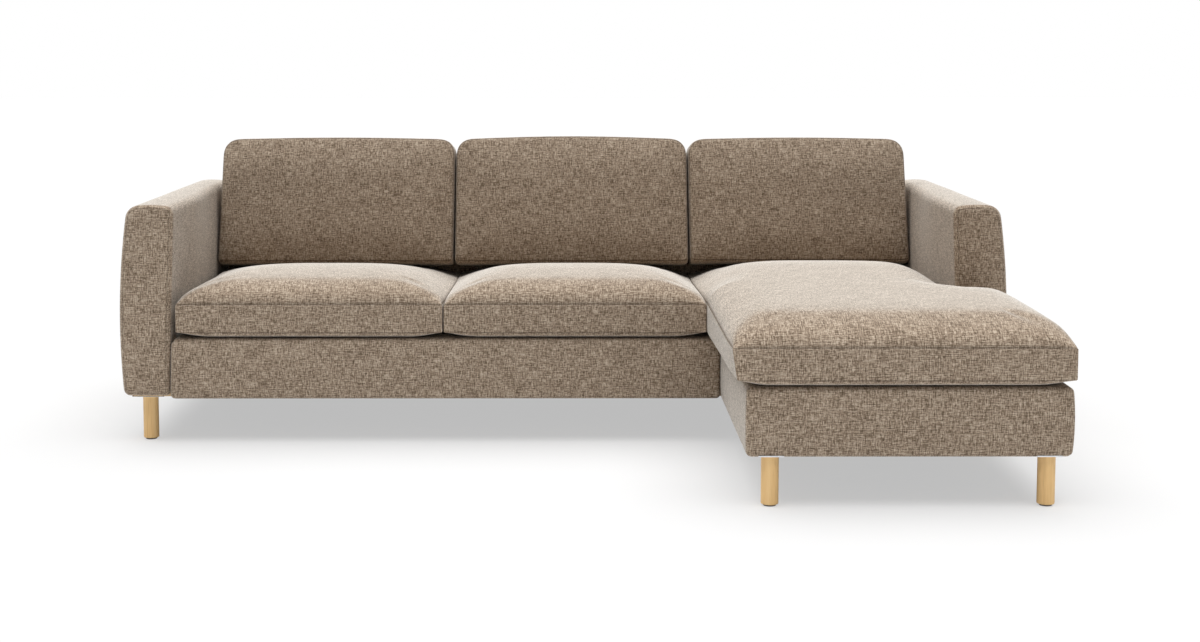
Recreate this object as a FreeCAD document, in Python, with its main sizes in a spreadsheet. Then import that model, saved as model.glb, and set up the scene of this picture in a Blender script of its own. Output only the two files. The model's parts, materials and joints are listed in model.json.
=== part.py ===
import FreeCAD, Part
import Sketcher
import os
import re

# Sectional sofa with a chaise on the right, seen from the front.
# Millimetres. +X to the right, +Y to the rear, +Z up.
# The origin is on the floor, in the middle of the whole sofa's bounding box.

doc = FreeCAD.newDocument("sectional_sofa")
sizes = doc.addObject("Spreadsheet::Sheet", "Sizes")

SIZES = (
    # the whole sofa
    ("overall_width", 2430),
    ("overall_depth", 1630),
    ("overall_height", 800),
    ("body_depth", 930),
    ("seam_offset", 431),
    # legs and their plates
    ("leg_height", 125),
    ("leg_diameter", 42),
    ("leg_edge_round", 2),
    ("leg_side_inset", 71),
    ("leg_front_inset", 59),
    ("leg_rear_inset", 58),
    ("chaise_leg_front_inset", 40),
    ("chaise_leg_left_inset", 59),
    ("chaise_leg_right_inset", 54),
    ("middle_leg_inset", 57),
    ("glide_diameter", 30),
    ("glide_thickness", 4),
    ("plate_side", 60),
    ("plate_thickness", 3),
    ("stud_diameter", 8),
    ("stud_depth", 25),
    # base and seat frame
    ("base_top", 288),
    ("base_padding", 18),
    ("base_round", 14),
    ("base_lip", 60),
    ("bottom_fold", 40),
    ("cloth_thickness", 1),
    ("deck_thickness", 12),
    ("rail_thickness", 28),
    ("block_side", 50),
    ("chaise_side_gap", 15),
    # springs and clips
    ("spring_wire", 4),
    ("spring_width", 46),
    ("spring_step", 26),
    ("clip_width", 18),
    ("clip_reach", 16),
    ("clip_leaf", 1),
    ("clip_seat", 10),
    # arms
    ("arm_width", 123),
    ("arm_outer_bow", 12),
    ("arm_inner_bow", 6),
    ("arm_height", 655),
    ("arm_crown", 5),
    ("arm_shoulder", 33),
    ("arm_lift", 4),
    ("arm_padding", 18),
    ("arm_front_round", 14),
    ("arm_board", 4),
    ("arm_top_padding", 24),
    ("post_width", 45),
    # back frame
    ("back_thickness", 100),
    ("back_drop", 10),
    ("back_padding", 18),
    ("back_lining", 12),
    ("back_round", 15),
    ("web_thickness", 2),
    ("web_width", 60),
    ("back_rail_height", 45),
    # cushions
    ("cushion_gap", 4),
    ("cushion_clearance", 0.3),
    ("cushion_wall", 8),
    ("core_gap", 0.5),
    ("seat_overhang", 5),
    ("seat_split_offset", -336),
    ("seat_lower_seam", 18),
    ("seat_upper_seam", 94),
    ("seat_crown", 152),
    ("seat_shoulder", 124),
    ("seat_corner_taper", 14),
    ("seat_shoulder_run", 70),
    ("seat_fall", 29),
    ("chaise_crown", 162),
    ("chaise_shoulder", 127),
    ("chaise_overhang", 10),
    ("back_cushion_foot", 180),
    ("back_cushion_lean", 62),
    ("back_cushion_top", 120),
    ("back_cushion_heel", 14),
    ("back_cushion_corner", 50),
    ("back_cushion_bow", 14),
    ("back_cushion_split_left", -340),
    ("back_cushion_split_right", 388),
    # bolts
    ("bolt_diameter", 8),
    ("bolt_clearance", 0.4),
    ("bolt_head_across", 13),
    ("bolt_head_height", 5),
    ("arm_bolt_length", 60),
    ("bolt_row_low", 190),
    ("bolt_row_high", 240),
)
for row, (alias, value) in enumerate(SIZES, 1):
    sizes.set(f"A{row}", alias)
    sizes.set(f"B{row}", str(value))
    sizes.setAlias(f"B{row}", alias)
doc.recompute()

nodes = []


def put(text):
    """The text with each size's name turned into its cell in the sheet."""
    known = {alias for alias, _ in SIZES}
    return re.sub(r"[a-z_]+", lambda found: f"Sizes.{found[0]}" if found[0] in known else found[0], text)


def number(text):
    """What a size expression is worth, in millimetres."""
    return float(sizes.evalExpression(put(text)))


def bind(piece, **places):
    """Ties properties to size expressions; a double underscore stands for a dot."""
    for name, text in places.items():
        piece.setExpression(name.replace("__", "."), put(text))


def node(name, piece):
    """Names a piece that is a sub-part of its own."""
    piece.Label = name
    nodes.append(piece)
    return piece


# Planes and lines that several pieces share

LEFT = "( 0 - overall_width / 2 )"
RIGHT = "( overall_width / 2 )"
REAR = "( overall_depth / 2 )"
CHAISE_FRONT = "( 0 - overall_depth / 2 )"
BODY_FRONT = f"( {REAR} - body_depth )"
SEAM = "seam_offset"
FRAME_SEAM = "( seam_offset + base_padding )"
FRAME_BOTTOM = "( leg_height + cloth_thickness )"
DECK_BOTTOM = "( base_top - deck_thickness )"
RAIL_TOP = f"( {DECK_BOTTOM} - spring_wire - 2 * clip_leaf )"
ARM_OUTER = "( overall_width / 2 - arm_outer_bow )"
ARM_INNER = f"( {ARM_OUTER} - arm_width )"
ARM_FRAME_INNER = f"( {ARM_INNER} + arm_padding )"
ARM_FRAME_OUTER = f"( {ARM_OUTER} - arm_padding )"
ARM_FACE = f"( {ARM_INNER} - arm_inner_bow )"
ARM_BOTTOM = "( leg_height + arm_lift )"
BACK_FRONT = f"( {REAR} - back_thickness )"
BACK_FRAME_FRONT = f"( {BACK_FRONT} + back_padding + web_thickness )"
BACK_FRAME_REAR = f"( {REAR} - back_lining )"
CHAISE_RIGHT = f"( {RIGHT} - chaise_side_gap )"


def block(name, across, deep, high):
    """A rectangular piece between (low, high) size expressions on each axis."""
    piece = doc.addObject("Part::Box", name)
    spans = (("Length", "x", across), ("Width", "y", deep), ("Height", "z", high))
    for side, axis, (low, top) in spans:
        piece.setExpression(side, put(f"( {top} ) - ( {low} )"))
        piece.setExpression(f"Placement.Base.{axis}", put(low))
    return piece


def turned(axis):
    """The rotation that lays a part's own +Z along +X, +Y or +Z."""
    return {
        "x": FreeCAD.Rotation(FreeCAD.Vector(0, 1, 0), 90),
        "y": FreeCAD.Rotation(FreeCAD.Vector(1, 0, 0), -90),
        "z": FreeCAD.Rotation(),
    }[axis]


def rod(name, place, diameter, length, axis="z"):
    """A cylinder from the place along +axis."""
    piece = doc.addObject("Part::Cylinder", name)
    piece.Placement.Rotation = turned(axis)
    bind(piece, Radius=f"( {diameter} ) / 2", Height=length)
    bind(piece, Placement__Base__x=place[0], Placement__Base__y=place[1], Placement__Base__z=place[2])
    return piece


def hexagon(name, place, across, length, axis="z"):
    """A hexagonal prism, measured across its flats."""
    piece = doc.addObject("Part::Prism", name)
    piece.Polygon = 6
    piece.Placement.Rotation = turned(axis)
    bind(piece, Circumradius=f"( {across} ) / sqrt( 3 )", Height=length)
    bind(piece, Placement__Base__x=place[0], Placement__Base__y=place[1], Placement__Base__z=place[2])
    return piece


def group(name, pieces):
    """Several separate solids kept as one object."""
    whole = doc.addObject("Part::Compound", name)
    whole.Links = pieces
    return whole


def less(name, base, tools):
    """The base with the tools cut out of it."""
    result = doc.addObject("Part::Cut", name)
    result.Base = base
    result.Tool = tools[0] if len(tools) == 1 else group(f"{name}_tools", tools)
    return result


def joined(name, pieces):
    result = doc.addObject("Part::MultiFuse", name)
    result.Shapes = pieces
    return result


def shared(name, first, second):
    """What two solids have in common."""
    result = doc.addObject("Part::Common", name)
    result.Base = first
    result.Tool = second
    return result


def draw(sketch, corners):
    """Draws a closed outline. A corner is (across, up, bow), and the bow is how far
    the edge that leaves it stands out in the middle; without a bow it is straight."""
    spots = [FreeCAD.Vector(number(across), number(up), 0) for across, up, _ in corners]
    count = len(spots)
    turn = sum(a.x * b.y - b.x * a.y for a, b in zip(spots, spots[1:] + spots[:1]))
    if turn < 0:
        bows = [corner[2] for corner in corners]
        order = list(range(count - 1, -1, -1))
        corners = [(corners[i][0], corners[i][1], bows[i - 1]) for i in order]
        spots = [spots[i] for i in order]
    edges = []
    for index, (_, _, bow) in enumerate(corners):
        start = spots[index]
        end = spots[(index + 1) % count]
        if bow:
            along = end - start
            aside = FreeCAD.Vector(along.y, -along.x, 0).normalize() * number(bow)
            edges.append(Part.Arc(start, (start + end) / 2 + aside, end))
        else:
            edges.append(Part.LineSegment(start, end))
    sketch.addGeometry(edges, False)
    links = [Sketcher.Constraint("Coincident", i, 2, (i + 1) % count, 1) for i in range(count)]
    texts = {}
    for index, (across, up, bow) in enumerate(corners):
        links.append(named(f"x{index}", "DistanceX", -1, 1, index, 1, spots[index].x))
        links.append(named(f"y{index}", "DistanceY", -1, 1, index, 1, spots[index].y))
        texts[f"x{index}"] = across
        texts[f"y{index}"] = up
        if bow:
            after = corners[(index + 1) % count]
            chord = f"( ( ( {after[0]} ) - ( {across} ) )^2 + ( ( {after[1]} ) - ( {up} ) )^2 )"
            radius = f"( {chord} / 4 + ( {bow} )^2 ) / ( 2 * ( {bow} ) )"
            links.append(named(f"r{index}", "Radius", index, number(radius)))
            texts[f"r{index}"] = radius
    sketch.addConstraint(links)
    for label, text in texts.items():
        sketch.setExpression(f"Constraints.{label}", put(text))


def named(label, *terms):
    """A sketch constraint that expressions can reach by its label."""
    link = Sketcher.Constraint(*terms)
    link.Name = label
    return link


def body_plane(body, role):
    """One of a body's own origin planes."""
    return next(plane for plane in body.Origin.OriginFeatures if plane.Role == role)


def prism(name, role, corners, low, high, rounds=()):
    """A body padded between two planes from an outline on the plane that the role names.
    Each round is (radius expression, test of an edge) for a fillet."""
    body = doc.addObject("PartDesign::Body", name)
    sketch = body.newObject("Sketcher::SketchObject", f"{name}_outline")
    sketch.AttachmentSupport = [(body_plane(body, role), "")]
    sketch.MapMode = "FlatFace"
    backward = role == "XZ_Plane"
    start = f"0 - ( {low} )" if backward else low
    sketch.setExpression("AttachmentOffset.Base.z", put(start))
    draw(sketch, corners)
    pad = body.newObject("PartDesign::Pad", f"{name}_pad")
    pad.Profile = sketch
    pad.Reversed = backward
    pad.setExpression("Length", put(f"( {high} ) - ( {low} )"))
    for index, (radius, wanted) in enumerate(rounds):
        doc.recompute()
        base = body.Tip
        picked = [f"Edge{i}" for i, edge in enumerate(base.Shape.Edges, 1) if wanted(edge)]
        fillet = body.newObject("PartDesign::Fillet", f"{name}_round_{index}")
        fillet.Base = (base, picked)
        bind(fillet, Radius=radius)
    return body


def at(axis, place):
    """A test for edges that lie in the plane where the axis has this value."""
    value = number(place)
    return lambda edge: all(abs(getattr(v.Point, axis) - value) < 0.01 for v in edge.Vertexes) and (
        abs(getattr(edge.valueAt((edge.FirstParameter + edge.LastParameter) / 2), axis) - value) < 0.01
    )


# Legs, their glides, plates and studs

PLATE_BOTTOM = "( leg_height - plate_thickness )"
CHAISE_LEG_Y = f"{CHAISE_FRONT} + chaise_leg_front_inset"
LEG_PLACES = {
    "leg_front_left": (f"{LEFT} + leg_side_inset", f"{BODY_FRONT} + leg_front_inset"),
    "leg_rear_left": (f"{LEFT} + leg_side_inset", f"{REAR} - leg_rear_inset"),
    "leg_rear_middle": (f"{FRAME_SEAM} + middle_leg_inset", f"{REAR} - leg_rear_inset"),
    "leg_rear_right": (f"{RIGHT} - leg_side_inset", f"{REAR} - leg_rear_inset"),
    "leg_chaise_left": (f"{SEAM} + chaise_leg_left_inset", CHAISE_LEG_Y),
    "leg_chaise_right": (f"{CHAISE_RIGHT} - chaise_leg_right_inset", CHAISE_LEG_Y),
}


def leg(name, across, deep):
    """A straight round wooden leg with eased ends and a blind bore for its stud."""
    radius = "( leg_diameter / 2 )"
    bore = "( stud_diameter / 2 + bolt_clearance / 4 )"
    ease = "leg_edge_round"
    top = PLATE_BOTTOM
    foot = "glide_thickness"
    bore_foot = f"( {top} - stud_depth - clip_leaf )"
    body = doc.addObject("PartDesign::Body", name)
    sketch = body.newObject("Sketcher::SketchObject", f"{name}_section")
    sketch.AttachmentSupport = [(body_plane(body, "XZ_Plane"), "")]
    sketch.MapMode = "FlatFace"
    draw(
        sketch,
        (
            ("0", foot, ""),
            (f"{radius} - {ease}", foot, f"{ease} * 0.2929"),
            (radius, f"{foot} + {ease}", ""),
            (radius, f"{top} - {ease} / 2", ""),
            (f"{radius} - {ease} / 2", top, ""),
            (bore, top, ""),
            (bore, bore_foot, ""),
            ("0", bore_foot, ""),
        ),
    )
    turn = body.newObject("PartDesign::Revolution", f"{name}_turning")
    turn.Profile = sketch
    turn.ReferenceAxis = (sketch, ["V_Axis"])
    turn.Angle = 360
    bind(body, Placement__Base__x=across, Placement__Base__y=deep)
    return node(name, body)


glides = []
plates = []
studs = []
for leg_name, (leg_x, leg_y) in LEG_PLACES.items():
    leg(leg_name, leg_x, leg_y)
    glides.append(rod(f"{leg_name}_glide", (leg_x, leg_y, "0"), "glide_diameter", "glide_thickness"))
    plate = block(
        f"{leg_name}_plate_blank",
        (f"{leg_x} - plate_side / 2", f"{leg_x} + plate_side / 2"),
        (f"{leg_y} - plate_side / 2", f"{leg_y} + plate_side / 2"),
        (PLATE_BOTTOM, "leg_height"),
    )
    bore = rod(
        f"{leg_name}_plate_bore",
        (leg_x, leg_y, f"{PLATE_BOTTOM} - clip_leaf"),
        "stud_diameter + bolt_clearance / 2",
        "plate_thickness + 2 * clip_leaf",
    )
    plates.append(less(f"{leg_name}_plate", plate, [bore]))
    studs.append(
        rod(
            f"{leg_name}_stud",
            (leg_x, leg_y, f"{PLATE_BOTTOM} - stud_depth"),
            "stud_diameter",
            "stud_depth + plate_thickness",
        )
    )
node("leg_glides", group("leg_glides", glides))
node("leg_plates", group("leg_plates", plates))
node("leg_studs", group("leg_studs", studs))

# Bolt rows. The side rails are bored for the bolts that hold the arms, and the two rails
# at the seam for the bolts that hold the units together.

BOLT_LEVELS = ("bolt_row_low", "bolt_row_high")
POST_FRONT = f"( {BODY_FRONT} + arm_padding )"
SEAT_FRAME_REAR = BACK_FRAME_FRONT
ARM_POSTS = {
    "front": f"{POST_FRONT} + rail_thickness + post_width / 2",
    "rear": f"{SEAT_FRAME_REAR} - rail_thickness - post_width / 2",
}
BORE = "bolt_diameter + bolt_clearance"


def bore_row(name, start, length, places):
    """Bores along X at each (depth, level)."""
    return [
        rod(f"{name}_bore_{index}", (start, deep, level), BORE, length, "x")
        for index, (deep, level) in enumerate(places)
    ]


ARM_BOLT_PLACES = [(deep, level) for deep in ARM_POSTS.values() for level in BOLT_LEVELS]
SEAM_BOLT_PLACES = [
    (f"{BODY_FRONT} + body_depth * {share}", f"( {BOLT_LEVELS[0]} + {BOLT_LEVELS[1]} ) / 2")
    for share in (0.2, 0.45, 0.7)
]

# Seat frame of the two-seat unit

SEAT_FRAME_FRONT = f"( {BODY_FRONT} + base_padding )"
SOFA_LEFT = f"( 0 - {ARM_FRAME_INNER} )"
RAILS_Y = (f"{SEAT_FRAME_FRONT} + rail_thickness", f"{SEAT_FRAME_REAR} - rail_thickness")
LOW_RAIL = (FRAME_BOTTOM, RAIL_TOP)
HIGH_RAIL = (FRAME_BOTTOM, DECK_BOTTOM)
FRONT_Y = (SEAT_FRAME_FRONT, f"{SEAT_FRAME_FRONT} + rail_thickness")
REAR_Y = (f"{SEAT_FRAME_REAR} - rail_thickness", SEAT_FRAME_REAR)

node("sofa_front_rail", block("sofa_front_rail", (SOFA_LEFT, FRAME_SEAM), FRONT_Y, LOW_RAIL))
node("sofa_rear_rail", block("sofa_rear_rail", (SOFA_LEFT, FRAME_SEAM), REAR_Y, LOW_RAIL))
left_blank = block("sofa_left_blank", (SOFA_LEFT, f"{SOFA_LEFT} + rail_thickness"), RAILS_Y, HIGH_RAIL)
left_bores = bore_row(
    "sofa_left", f"{SOFA_LEFT} - clip_leaf", "rail_thickness + 2 * clip_leaf", ARM_BOLT_PLACES
)
node("sofa_left_rail", less("sofa_left_rail", left_blank, left_bores))
SEAM_RAIL = (f"{FRAME_SEAM} - rail_thickness", FRAME_SEAM)
seam_blank = block("sofa_seam_blank", SEAM_RAIL, RAILS_Y, HIGH_RAIL)
seam_bores = bore_row(
    "sofa_seam", f"{SEAM_RAIL[0]} - clip_leaf", "rail_thickness + 2 * clip_leaf", SEAM_BOLT_PLACES
)
node("sofa_right_rail", less("sofa_right_rail", seam_blank, seam_bores))
SOFA_MIDDLE = f"( ( {SOFA_LEFT} + {FRAME_SEAM} ) / 2 )"
CENTRE_X = (f"{SOFA_MIDDLE} - rail_thickness / 2", f"{SOFA_MIDDLE} + rail_thickness / 2")
node("sofa_centre_rail", block("sofa_centre_rail", CENTRE_X, RAILS_Y, HIGH_RAIL))

# Seat frame of the chaise unit, wide in front of the arm and narrow beside it

CHAISE_X = (FRAME_SEAM, f"{CHAISE_RIGHT} - base_padding")
CHAISE_INNER_X = (f"{CHAISE_X[0]} + rail_thickness", f"{CHAISE_X[1]} - rail_thickness")
CHAISE_FRAME_FRONT = f"( {CHAISE_FRONT} + chaise_overhang + base_padding )"
CROSS_REAR = f"( {BODY_FRONT} - base_padding )"
CROSS_Y = (f"{CROSS_REAR} - rail_thickness", CROSS_REAR)
NARROW_RIGHT = ARM_FRAME_INNER
NARROW_X = (f"{NARROW_RIGHT} - rail_thickness", NARROW_RIGHT)
BESIDE_ARM = f"( {ARM_INNER} - cushion_clearance )"

chaise_left_blank = block(
    "chaise_left_blank", (CHAISE_X[0], CHAISE_INNER_X[0]), (CHAISE_FRAME_FRONT, SEAT_FRAME_REAR), LOW_RAIL
)
chaise_left_bores = bore_row(
    "chaise_left", f"{CHAISE_X[0]} - clip_leaf", "rail_thickness + 2 * clip_leaf", SEAM_BOLT_PLACES
)
node("chaise_left_rail", less("chaise_left_rail", chaise_left_blank, chaise_left_bores))
node(
    "chaise_front_rail",
    block(
        "chaise_front_rail",
        (CHAISE_INNER_X[0], CHAISE_X[1]),
        (CHAISE_FRAME_FRONT, f"{CHAISE_FRAME_FRONT} + rail_thickness"),
        HIGH_RAIL,
    ),
)
node(
    "chaise_right_front_rail",
    block(
        "chaise_right_front_rail",
        (CHAISE_INNER_X[1], CHAISE_X[1]),
        (f"{CHAISE_FRAME_FRONT} + rail_thickness", CROSS_Y[0]),
        LOW_RAIL,
    ),
)
node("chaise_cross_rail", block("chaise_cross_rail", (CHAISE_INNER_X[0], CHAISE_X[1]), CROSS_Y, HIGH_RAIL))
narrow_blank = block(
    "chaise_narrow_blank", NARROW_X, (CROSS_REAR, f"{SEAT_FRAME_REAR} - rail_thickness"), LOW_RAIL
)
narrow_bores = bore_row(
    "chaise_narrow", f"{NARROW_X[0]} - clip_leaf", "rail_thickness + 2 * clip_leaf", ARM_BOLT_PLACES
)
narrow_notch = block(
    "chaise_narrow_notch",
    (BESIDE_ARM, f"{NARROW_RIGHT} + clip_leaf"),
    (f"{CROSS_REAR} - clip_leaf", POST_FRONT),
    (f"{ARM_BOTTOM} - arm_lift", f"{RAIL_TOP} + clip_leaf"),
)
node("chaise_right_rear_rail", less("chaise_right_rear_rail", narrow_blank, [narrow_notch, *narrow_bores]))
node("chaise_rear_rail", block("chaise_rear_rail", (CHAISE_INNER_X[0], NARROW_RIGHT), REAR_Y, HIGH_RAIL))


# Glued blocks in the corners of both frames

def corner_block(name, across, deep, right, rear):
    """A square block in a corner: right and rear say which way it lies from the corner."""
    x_span = (across, f"{across} + block_side") if right else (f"{across} - block_side", across)
    y_span = (deep, f"{deep} + block_side") if rear else (f"{deep} - block_side", deep)
    return block(name, x_span, y_span, (FRAME_BOTTOM, f"{FRAME_BOTTOM} + block_side"))


CORNERS = (
    (f"{SOFA_LEFT} + rail_thickness", RAILS_Y[0], True, True),
    (SEAM_RAIL[0], RAILS_Y[0], False, True),
    (f"{SOFA_LEFT} + rail_thickness", RAILS_Y[1], True, False),
    (SEAM_RAIL[0], RAILS_Y[1], False, False),
    (CHAISE_INNER_X[0], f"{CHAISE_FRAME_FRONT} + rail_thickness", True, True),
    (CHAISE_INNER_X[1], f"{CHAISE_FRAME_FRONT} + rail_thickness", False, True),
    (CHAISE_INNER_X[0], RAILS_Y[1], True, False),
    (NARROW_X[0], RAILS_Y[1], False, False),
)
blocks = [corner_block(f"corner_block_{i}", *corner) for i, corner in enumerate(CORNERS)]
node("corner_blocks", group("corner_blocks", blocks))

# Flat zigzag springs with a steel clip at each end. A spring's end bars lie in the clips.


def zigzag(length):
    """A flat zigzag of round wire along +Y from its first bar to its last, centred on X."""
    wire = number("spring_wire")
    half = number("spring_width") / 2
    runs = max(2, round(length / number("spring_step")))
    step = length / runs
    bend = step / 2
    reach = half - wire / 2 - bend
    edges = []
    for index in range(runs + 1):
        side = 1 if index % 2 == 0 else -1
        deep = index * step
        near = FreeCAD.Vector(-side * reach, deep, 0)
        far = FreeCAD.Vector(side * reach, deep, 0)
        edges.append(Part.LineSegment(near, far).toShape())
        if index < runs:
            middle = FreeCAD.Vector(side * (reach + bend), deep + bend, 0)
            after = FreeCAD.Vector(side * reach, deep + step, 0)
            edges.append(Part.Arc(far, middle, after).toShape())
    path = Part.Wire(edges)
    start = edges[0].Vertexes[0].Point
    circle = Part.Wire(Part.makeCircle(wire / 2, start, FreeCAD.Vector(1, 0, 0)))
    return path.makePipeShell([circle], True, True)


def spring_row(name, turn, centres, first, last):
    """Springs side by side: centres across, between two lines, turned about Z."""
    level = number(f"{RAIL_TOP} + clip_leaf + spring_wire / 2")
    start = number(first)
    one = zigzag(number(last) - start)
    row = []
    for centre in centres:
        spring = one.copy()
        spot = FreeCAD.Vector(number(centre), start, level)
        if turn:
            spot = FreeCAD.Vector(start, number(centre), level)
        spring.Placement = FreeCAD.Placement(spot, FreeCAD.Rotation(FreeCAD.Vector(0, 0, 1), -90 * turn))
        row.append(spring)
    return row


def clip(name, centre, edge, turn, back):
    """A folded clip on a rail. Its slot opens away from the rail's outside: back is True
    where the spring leaves towards the lower coordinate."""
    half = "clip_width / 2"
    deep = (f"{edge} - clip_reach", edge) if not back else (edge, f"{edge} + clip_reach")
    slot = (f"{edge} - clip_reach + clip_leaf", f"{edge} + clip_leaf")
    if back:
        slot = (f"{edge} - clip_leaf", f"{edge} + clip_reach - clip_leaf")
    wide = (f"{centre} - {half}", f"{centre} + {half}")
    slot_wide = (f"{centre} - {half} - clip_leaf", f"{centre} + {half} + clip_leaf")
    tall = (RAIL_TOP, DECK_BOTTOM)
    slot_tall = (f"{RAIL_TOP} + clip_leaf", f"{DECK_BOTTOM} - clip_leaf")
    if turn:
        whole = block(f"{name}_blank", deep, wide, tall)
        hole = block(f"{name}_slot", slot, slot_wide, slot_tall)
    else:
        whole = block(f"{name}_blank", wide, deep, tall)
        hole = block(f"{name}_slot", slot_wide, slot, slot_tall)
    return less(name, whole, [hole])


def spread(low, high, count):
    """Evenly spaced centres between two lines."""
    return [f"{low} + ( {high} - {low} ) * {(2 * i + 1) / (2 * count)}" for i in range(count)]


def sprung_field(name, turn, low, high, count, rail_front, rail_rear):
    """Springs and their clips between two rails; rail_front and rail_rear are their inner edges."""
    centres = spread(low, high, count)
    first = f"{rail_front} - clip_seat"
    last = f"{rail_rear} + clip_seat"
    row = spring_row(name, turn, centres, first, last)
    for index, centre in enumerate(centres):
        clips.append(clip(f"{name}_front_clip_{index}", centre, rail_front, turn, False))
        clips.append(clip(f"{name}_rear_clip_{index}", centre, rail_rear, turn, True))
    return row


def spring_node(name, springs):
    piece = doc.addObject("Part::Feature", name)
    piece.Shape = Part.makeCompound(springs)
    piece.Placement = FreeCAD.Placement()
    return node(name, piece)


clips = []
left_bay = (f"( {SOFA_LEFT} + rail_thickness )", f"( {CENTRE_X[0]} )")
right_bay = (f"( {CENTRE_X[1]} )", f"( {SEAM_RAIL[0]} )")
sofa_springs = sprung_field("left_bay", 0, *left_bay, 4, f"( {RAILS_Y[0]} )", f"( {RAILS_Y[1]} )")
sofa_springs += sprung_field("right_bay", 0, *right_bay, 4, f"( {RAILS_Y[0]} )", f"( {RAILS_Y[1]} )")
spring_node("sofa_seat_springs", sofa_springs)
front_bay = (f"( {CHAISE_FRAME_FRONT} + rail_thickness )", f"( {CROSS_Y[0]} )")
rear_bay = (f"( {CROSS_REAR} )", f"( {RAILS_Y[1]} )")
inner_left = f"( {CHAISE_INNER_X[0]} )"
chaise_springs = sprung_field("front_bay", 1, *front_bay, 4, inner_left, f"( {CHAISE_INNER_X[1]} )")
chaise_springs += sprung_field("rear_bay", 1, *rear_bay, 5, inner_left, f"( {NARROW_X[0]} )")
spring_node("chaise_seat_springs", chaise_springs)
node("spring_clips", group("spring_clips", clips))

# Seat decks over the springs, dust cloths under the frames

DECK_Z = (DECK_BOTTOM, "base_top")
CLOTH_Z = ("leg_height", FRAME_BOTTOM)
BORDER_EDGE = f"( {SEAT_FRAME_FRONT} + base_lip )"
node(
    "sofa_seat_deck",
    block("sofa_seat_deck", (SOFA_LEFT, FRAME_SEAM), (BORDER_EDGE, BACK_FRAME_FRONT), DECK_Z),
)
WELL_X = (f"{CHAISE_X[0]} + base_lip", f"{CHAISE_X[1]} - base_lip")
WELL_FRONT = f"( {CHAISE_FRAME_FRONT} + base_lip )"
DECK_OUTLINE = (
    (WELL_X[0], WELL_FRONT, ""),
    (WELL_X[1], WELL_FRONT, ""),
    (WELL_X[1], f"{CROSS_REAR} - base_lip", ""),
    (BESIDE_ARM, f"{CROSS_REAR} - base_lip", ""),
    (BESIDE_ARM, POST_FRONT, ""),
    (NARROW_RIGHT, POST_FRONT, ""),
    (NARROW_RIGHT, BACK_FRAME_FRONT, ""),
    (FRAME_SEAM, BACK_FRAME_FRONT, ""),
    (FRAME_SEAM, BODY_FRONT, ""),
    (WELL_X[0], BODY_FRONT, ""),
)
node("chaise_seat_deck", prism("chaise_seat_deck", "XY_Plane", DECK_OUTLINE, *DECK_Z))

CLOTH_FRONT = f"( {SEAT_FRAME_FRONT} + bottom_fold )"
CLOTH_LEFT = f"( 0 - {ARM_FRAME_OUTER} )"
SOFA_CLOTH = (
    (CLOTH_LEFT, f"{POST_FRONT}", ""),
    (f"{SOFA_LEFT}", f"{POST_FRONT}", ""),
    (f"{SOFA_LEFT}", CLOTH_FRONT, ""),
    (FRAME_SEAM, CLOTH_FRONT, ""),
    (FRAME_SEAM, BACK_FRAME_REAR, ""),
    (CLOTH_LEFT, BACK_FRAME_REAR, ""),
)
node("sofa_dust_cloth", prism("sofa_dust_cloth", "XY_Plane", SOFA_CLOTH, *CLOTH_Z))
CHAISE_CLOTH = (
    (f"{CHAISE_X[0]} + bottom_fold", f"{CHAISE_FRAME_FRONT} + bottom_fold", ""),
    (f"{CHAISE_X[1]} - bottom_fold", f"{CHAISE_FRAME_FRONT} + bottom_fold", ""),
    (f"{CHAISE_X[1]} - bottom_fold", f"{CROSS_REAR} - bottom_fold", ""),
    (NARROW_RIGHT, f"{CROSS_REAR} - bottom_fold", ""),
    (NARROW_RIGHT, POST_FRONT, ""),
    (ARM_FRAME_OUTER, POST_FRONT, ""),
    (ARM_FRAME_OUTER, BACK_FRAME_REAR, ""),
    (FRAME_SEAM, BACK_FRAME_REAR, ""),
    (FRAME_SEAM, BODY_FRONT, ""),
    (f"{CHAISE_X[0]} + bottom_fold", BODY_FRONT, ""),
)
node("chaise_dust_cloth", prism("chaise_dust_cloth", "XY_Plane", CHAISE_CLOTH, *CLOTH_Z))

# Padded borders of the base

ROUND_BOW = "base_round * 0.2929"
SOFA_BORDER = (
    (f"{BODY_FRONT} + base_round", "leg_height", ""),
    (CLOTH_FRONT, "leg_height", ""),
    (CLOTH_FRONT, FRAME_BOTTOM, ""),
    (SEAT_FRAME_FRONT, FRAME_BOTTOM, ""),
    (SEAT_FRAME_FRONT, DECK_BOTTOM, ""),
    (BORDER_EDGE, DECK_BOTTOM, ""),
    (BORDER_EDGE, "base_top", ""),
    (f"{BODY_FRONT} + base_round", "base_top", ROUND_BOW),
    (BODY_FRONT, "base_top - base_round", ""),
    (BODY_FRONT, "leg_height + base_round", ROUND_BOW),
)
node(
    "sofa_base_cover",
    prism(
        "sofa_base_cover",
        "YZ_Plane",
        SOFA_BORDER,
        f"0 - {ARM_INNER} + cushion_clearance",
        f"{SEAM} - cushion_clearance",
    ),
)

BORDER_FRONT = f"( {CHAISE_FRONT} + chaise_overhang )"
BORDER_REAR = f"( {BODY_FRONT} - cushion_clearance )"
BORDER_OUTLINE = (
    (f"{SEAM} + base_round", BORDER_FRONT, ""),
    (f"{CHAISE_RIGHT} - base_round", BORDER_FRONT, ROUND_BOW),
    (CHAISE_RIGHT, f"{BORDER_FRONT} + base_round", ""),
    (CHAISE_RIGHT, BORDER_REAR, ""),
    (SEAM, BORDER_REAR, ""),
    (SEAM, f"{BORDER_FRONT} + base_round", ROUND_BOW),
)


def border_edge(edge):
    """The long edges at the top and the bottom of the chaise border, but not at its open rear."""
    level = at("z", "leg_height")(edge) or at("z", "base_top")(edge)
    return level and not at("y", BORDER_REAR)(edge)


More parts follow.
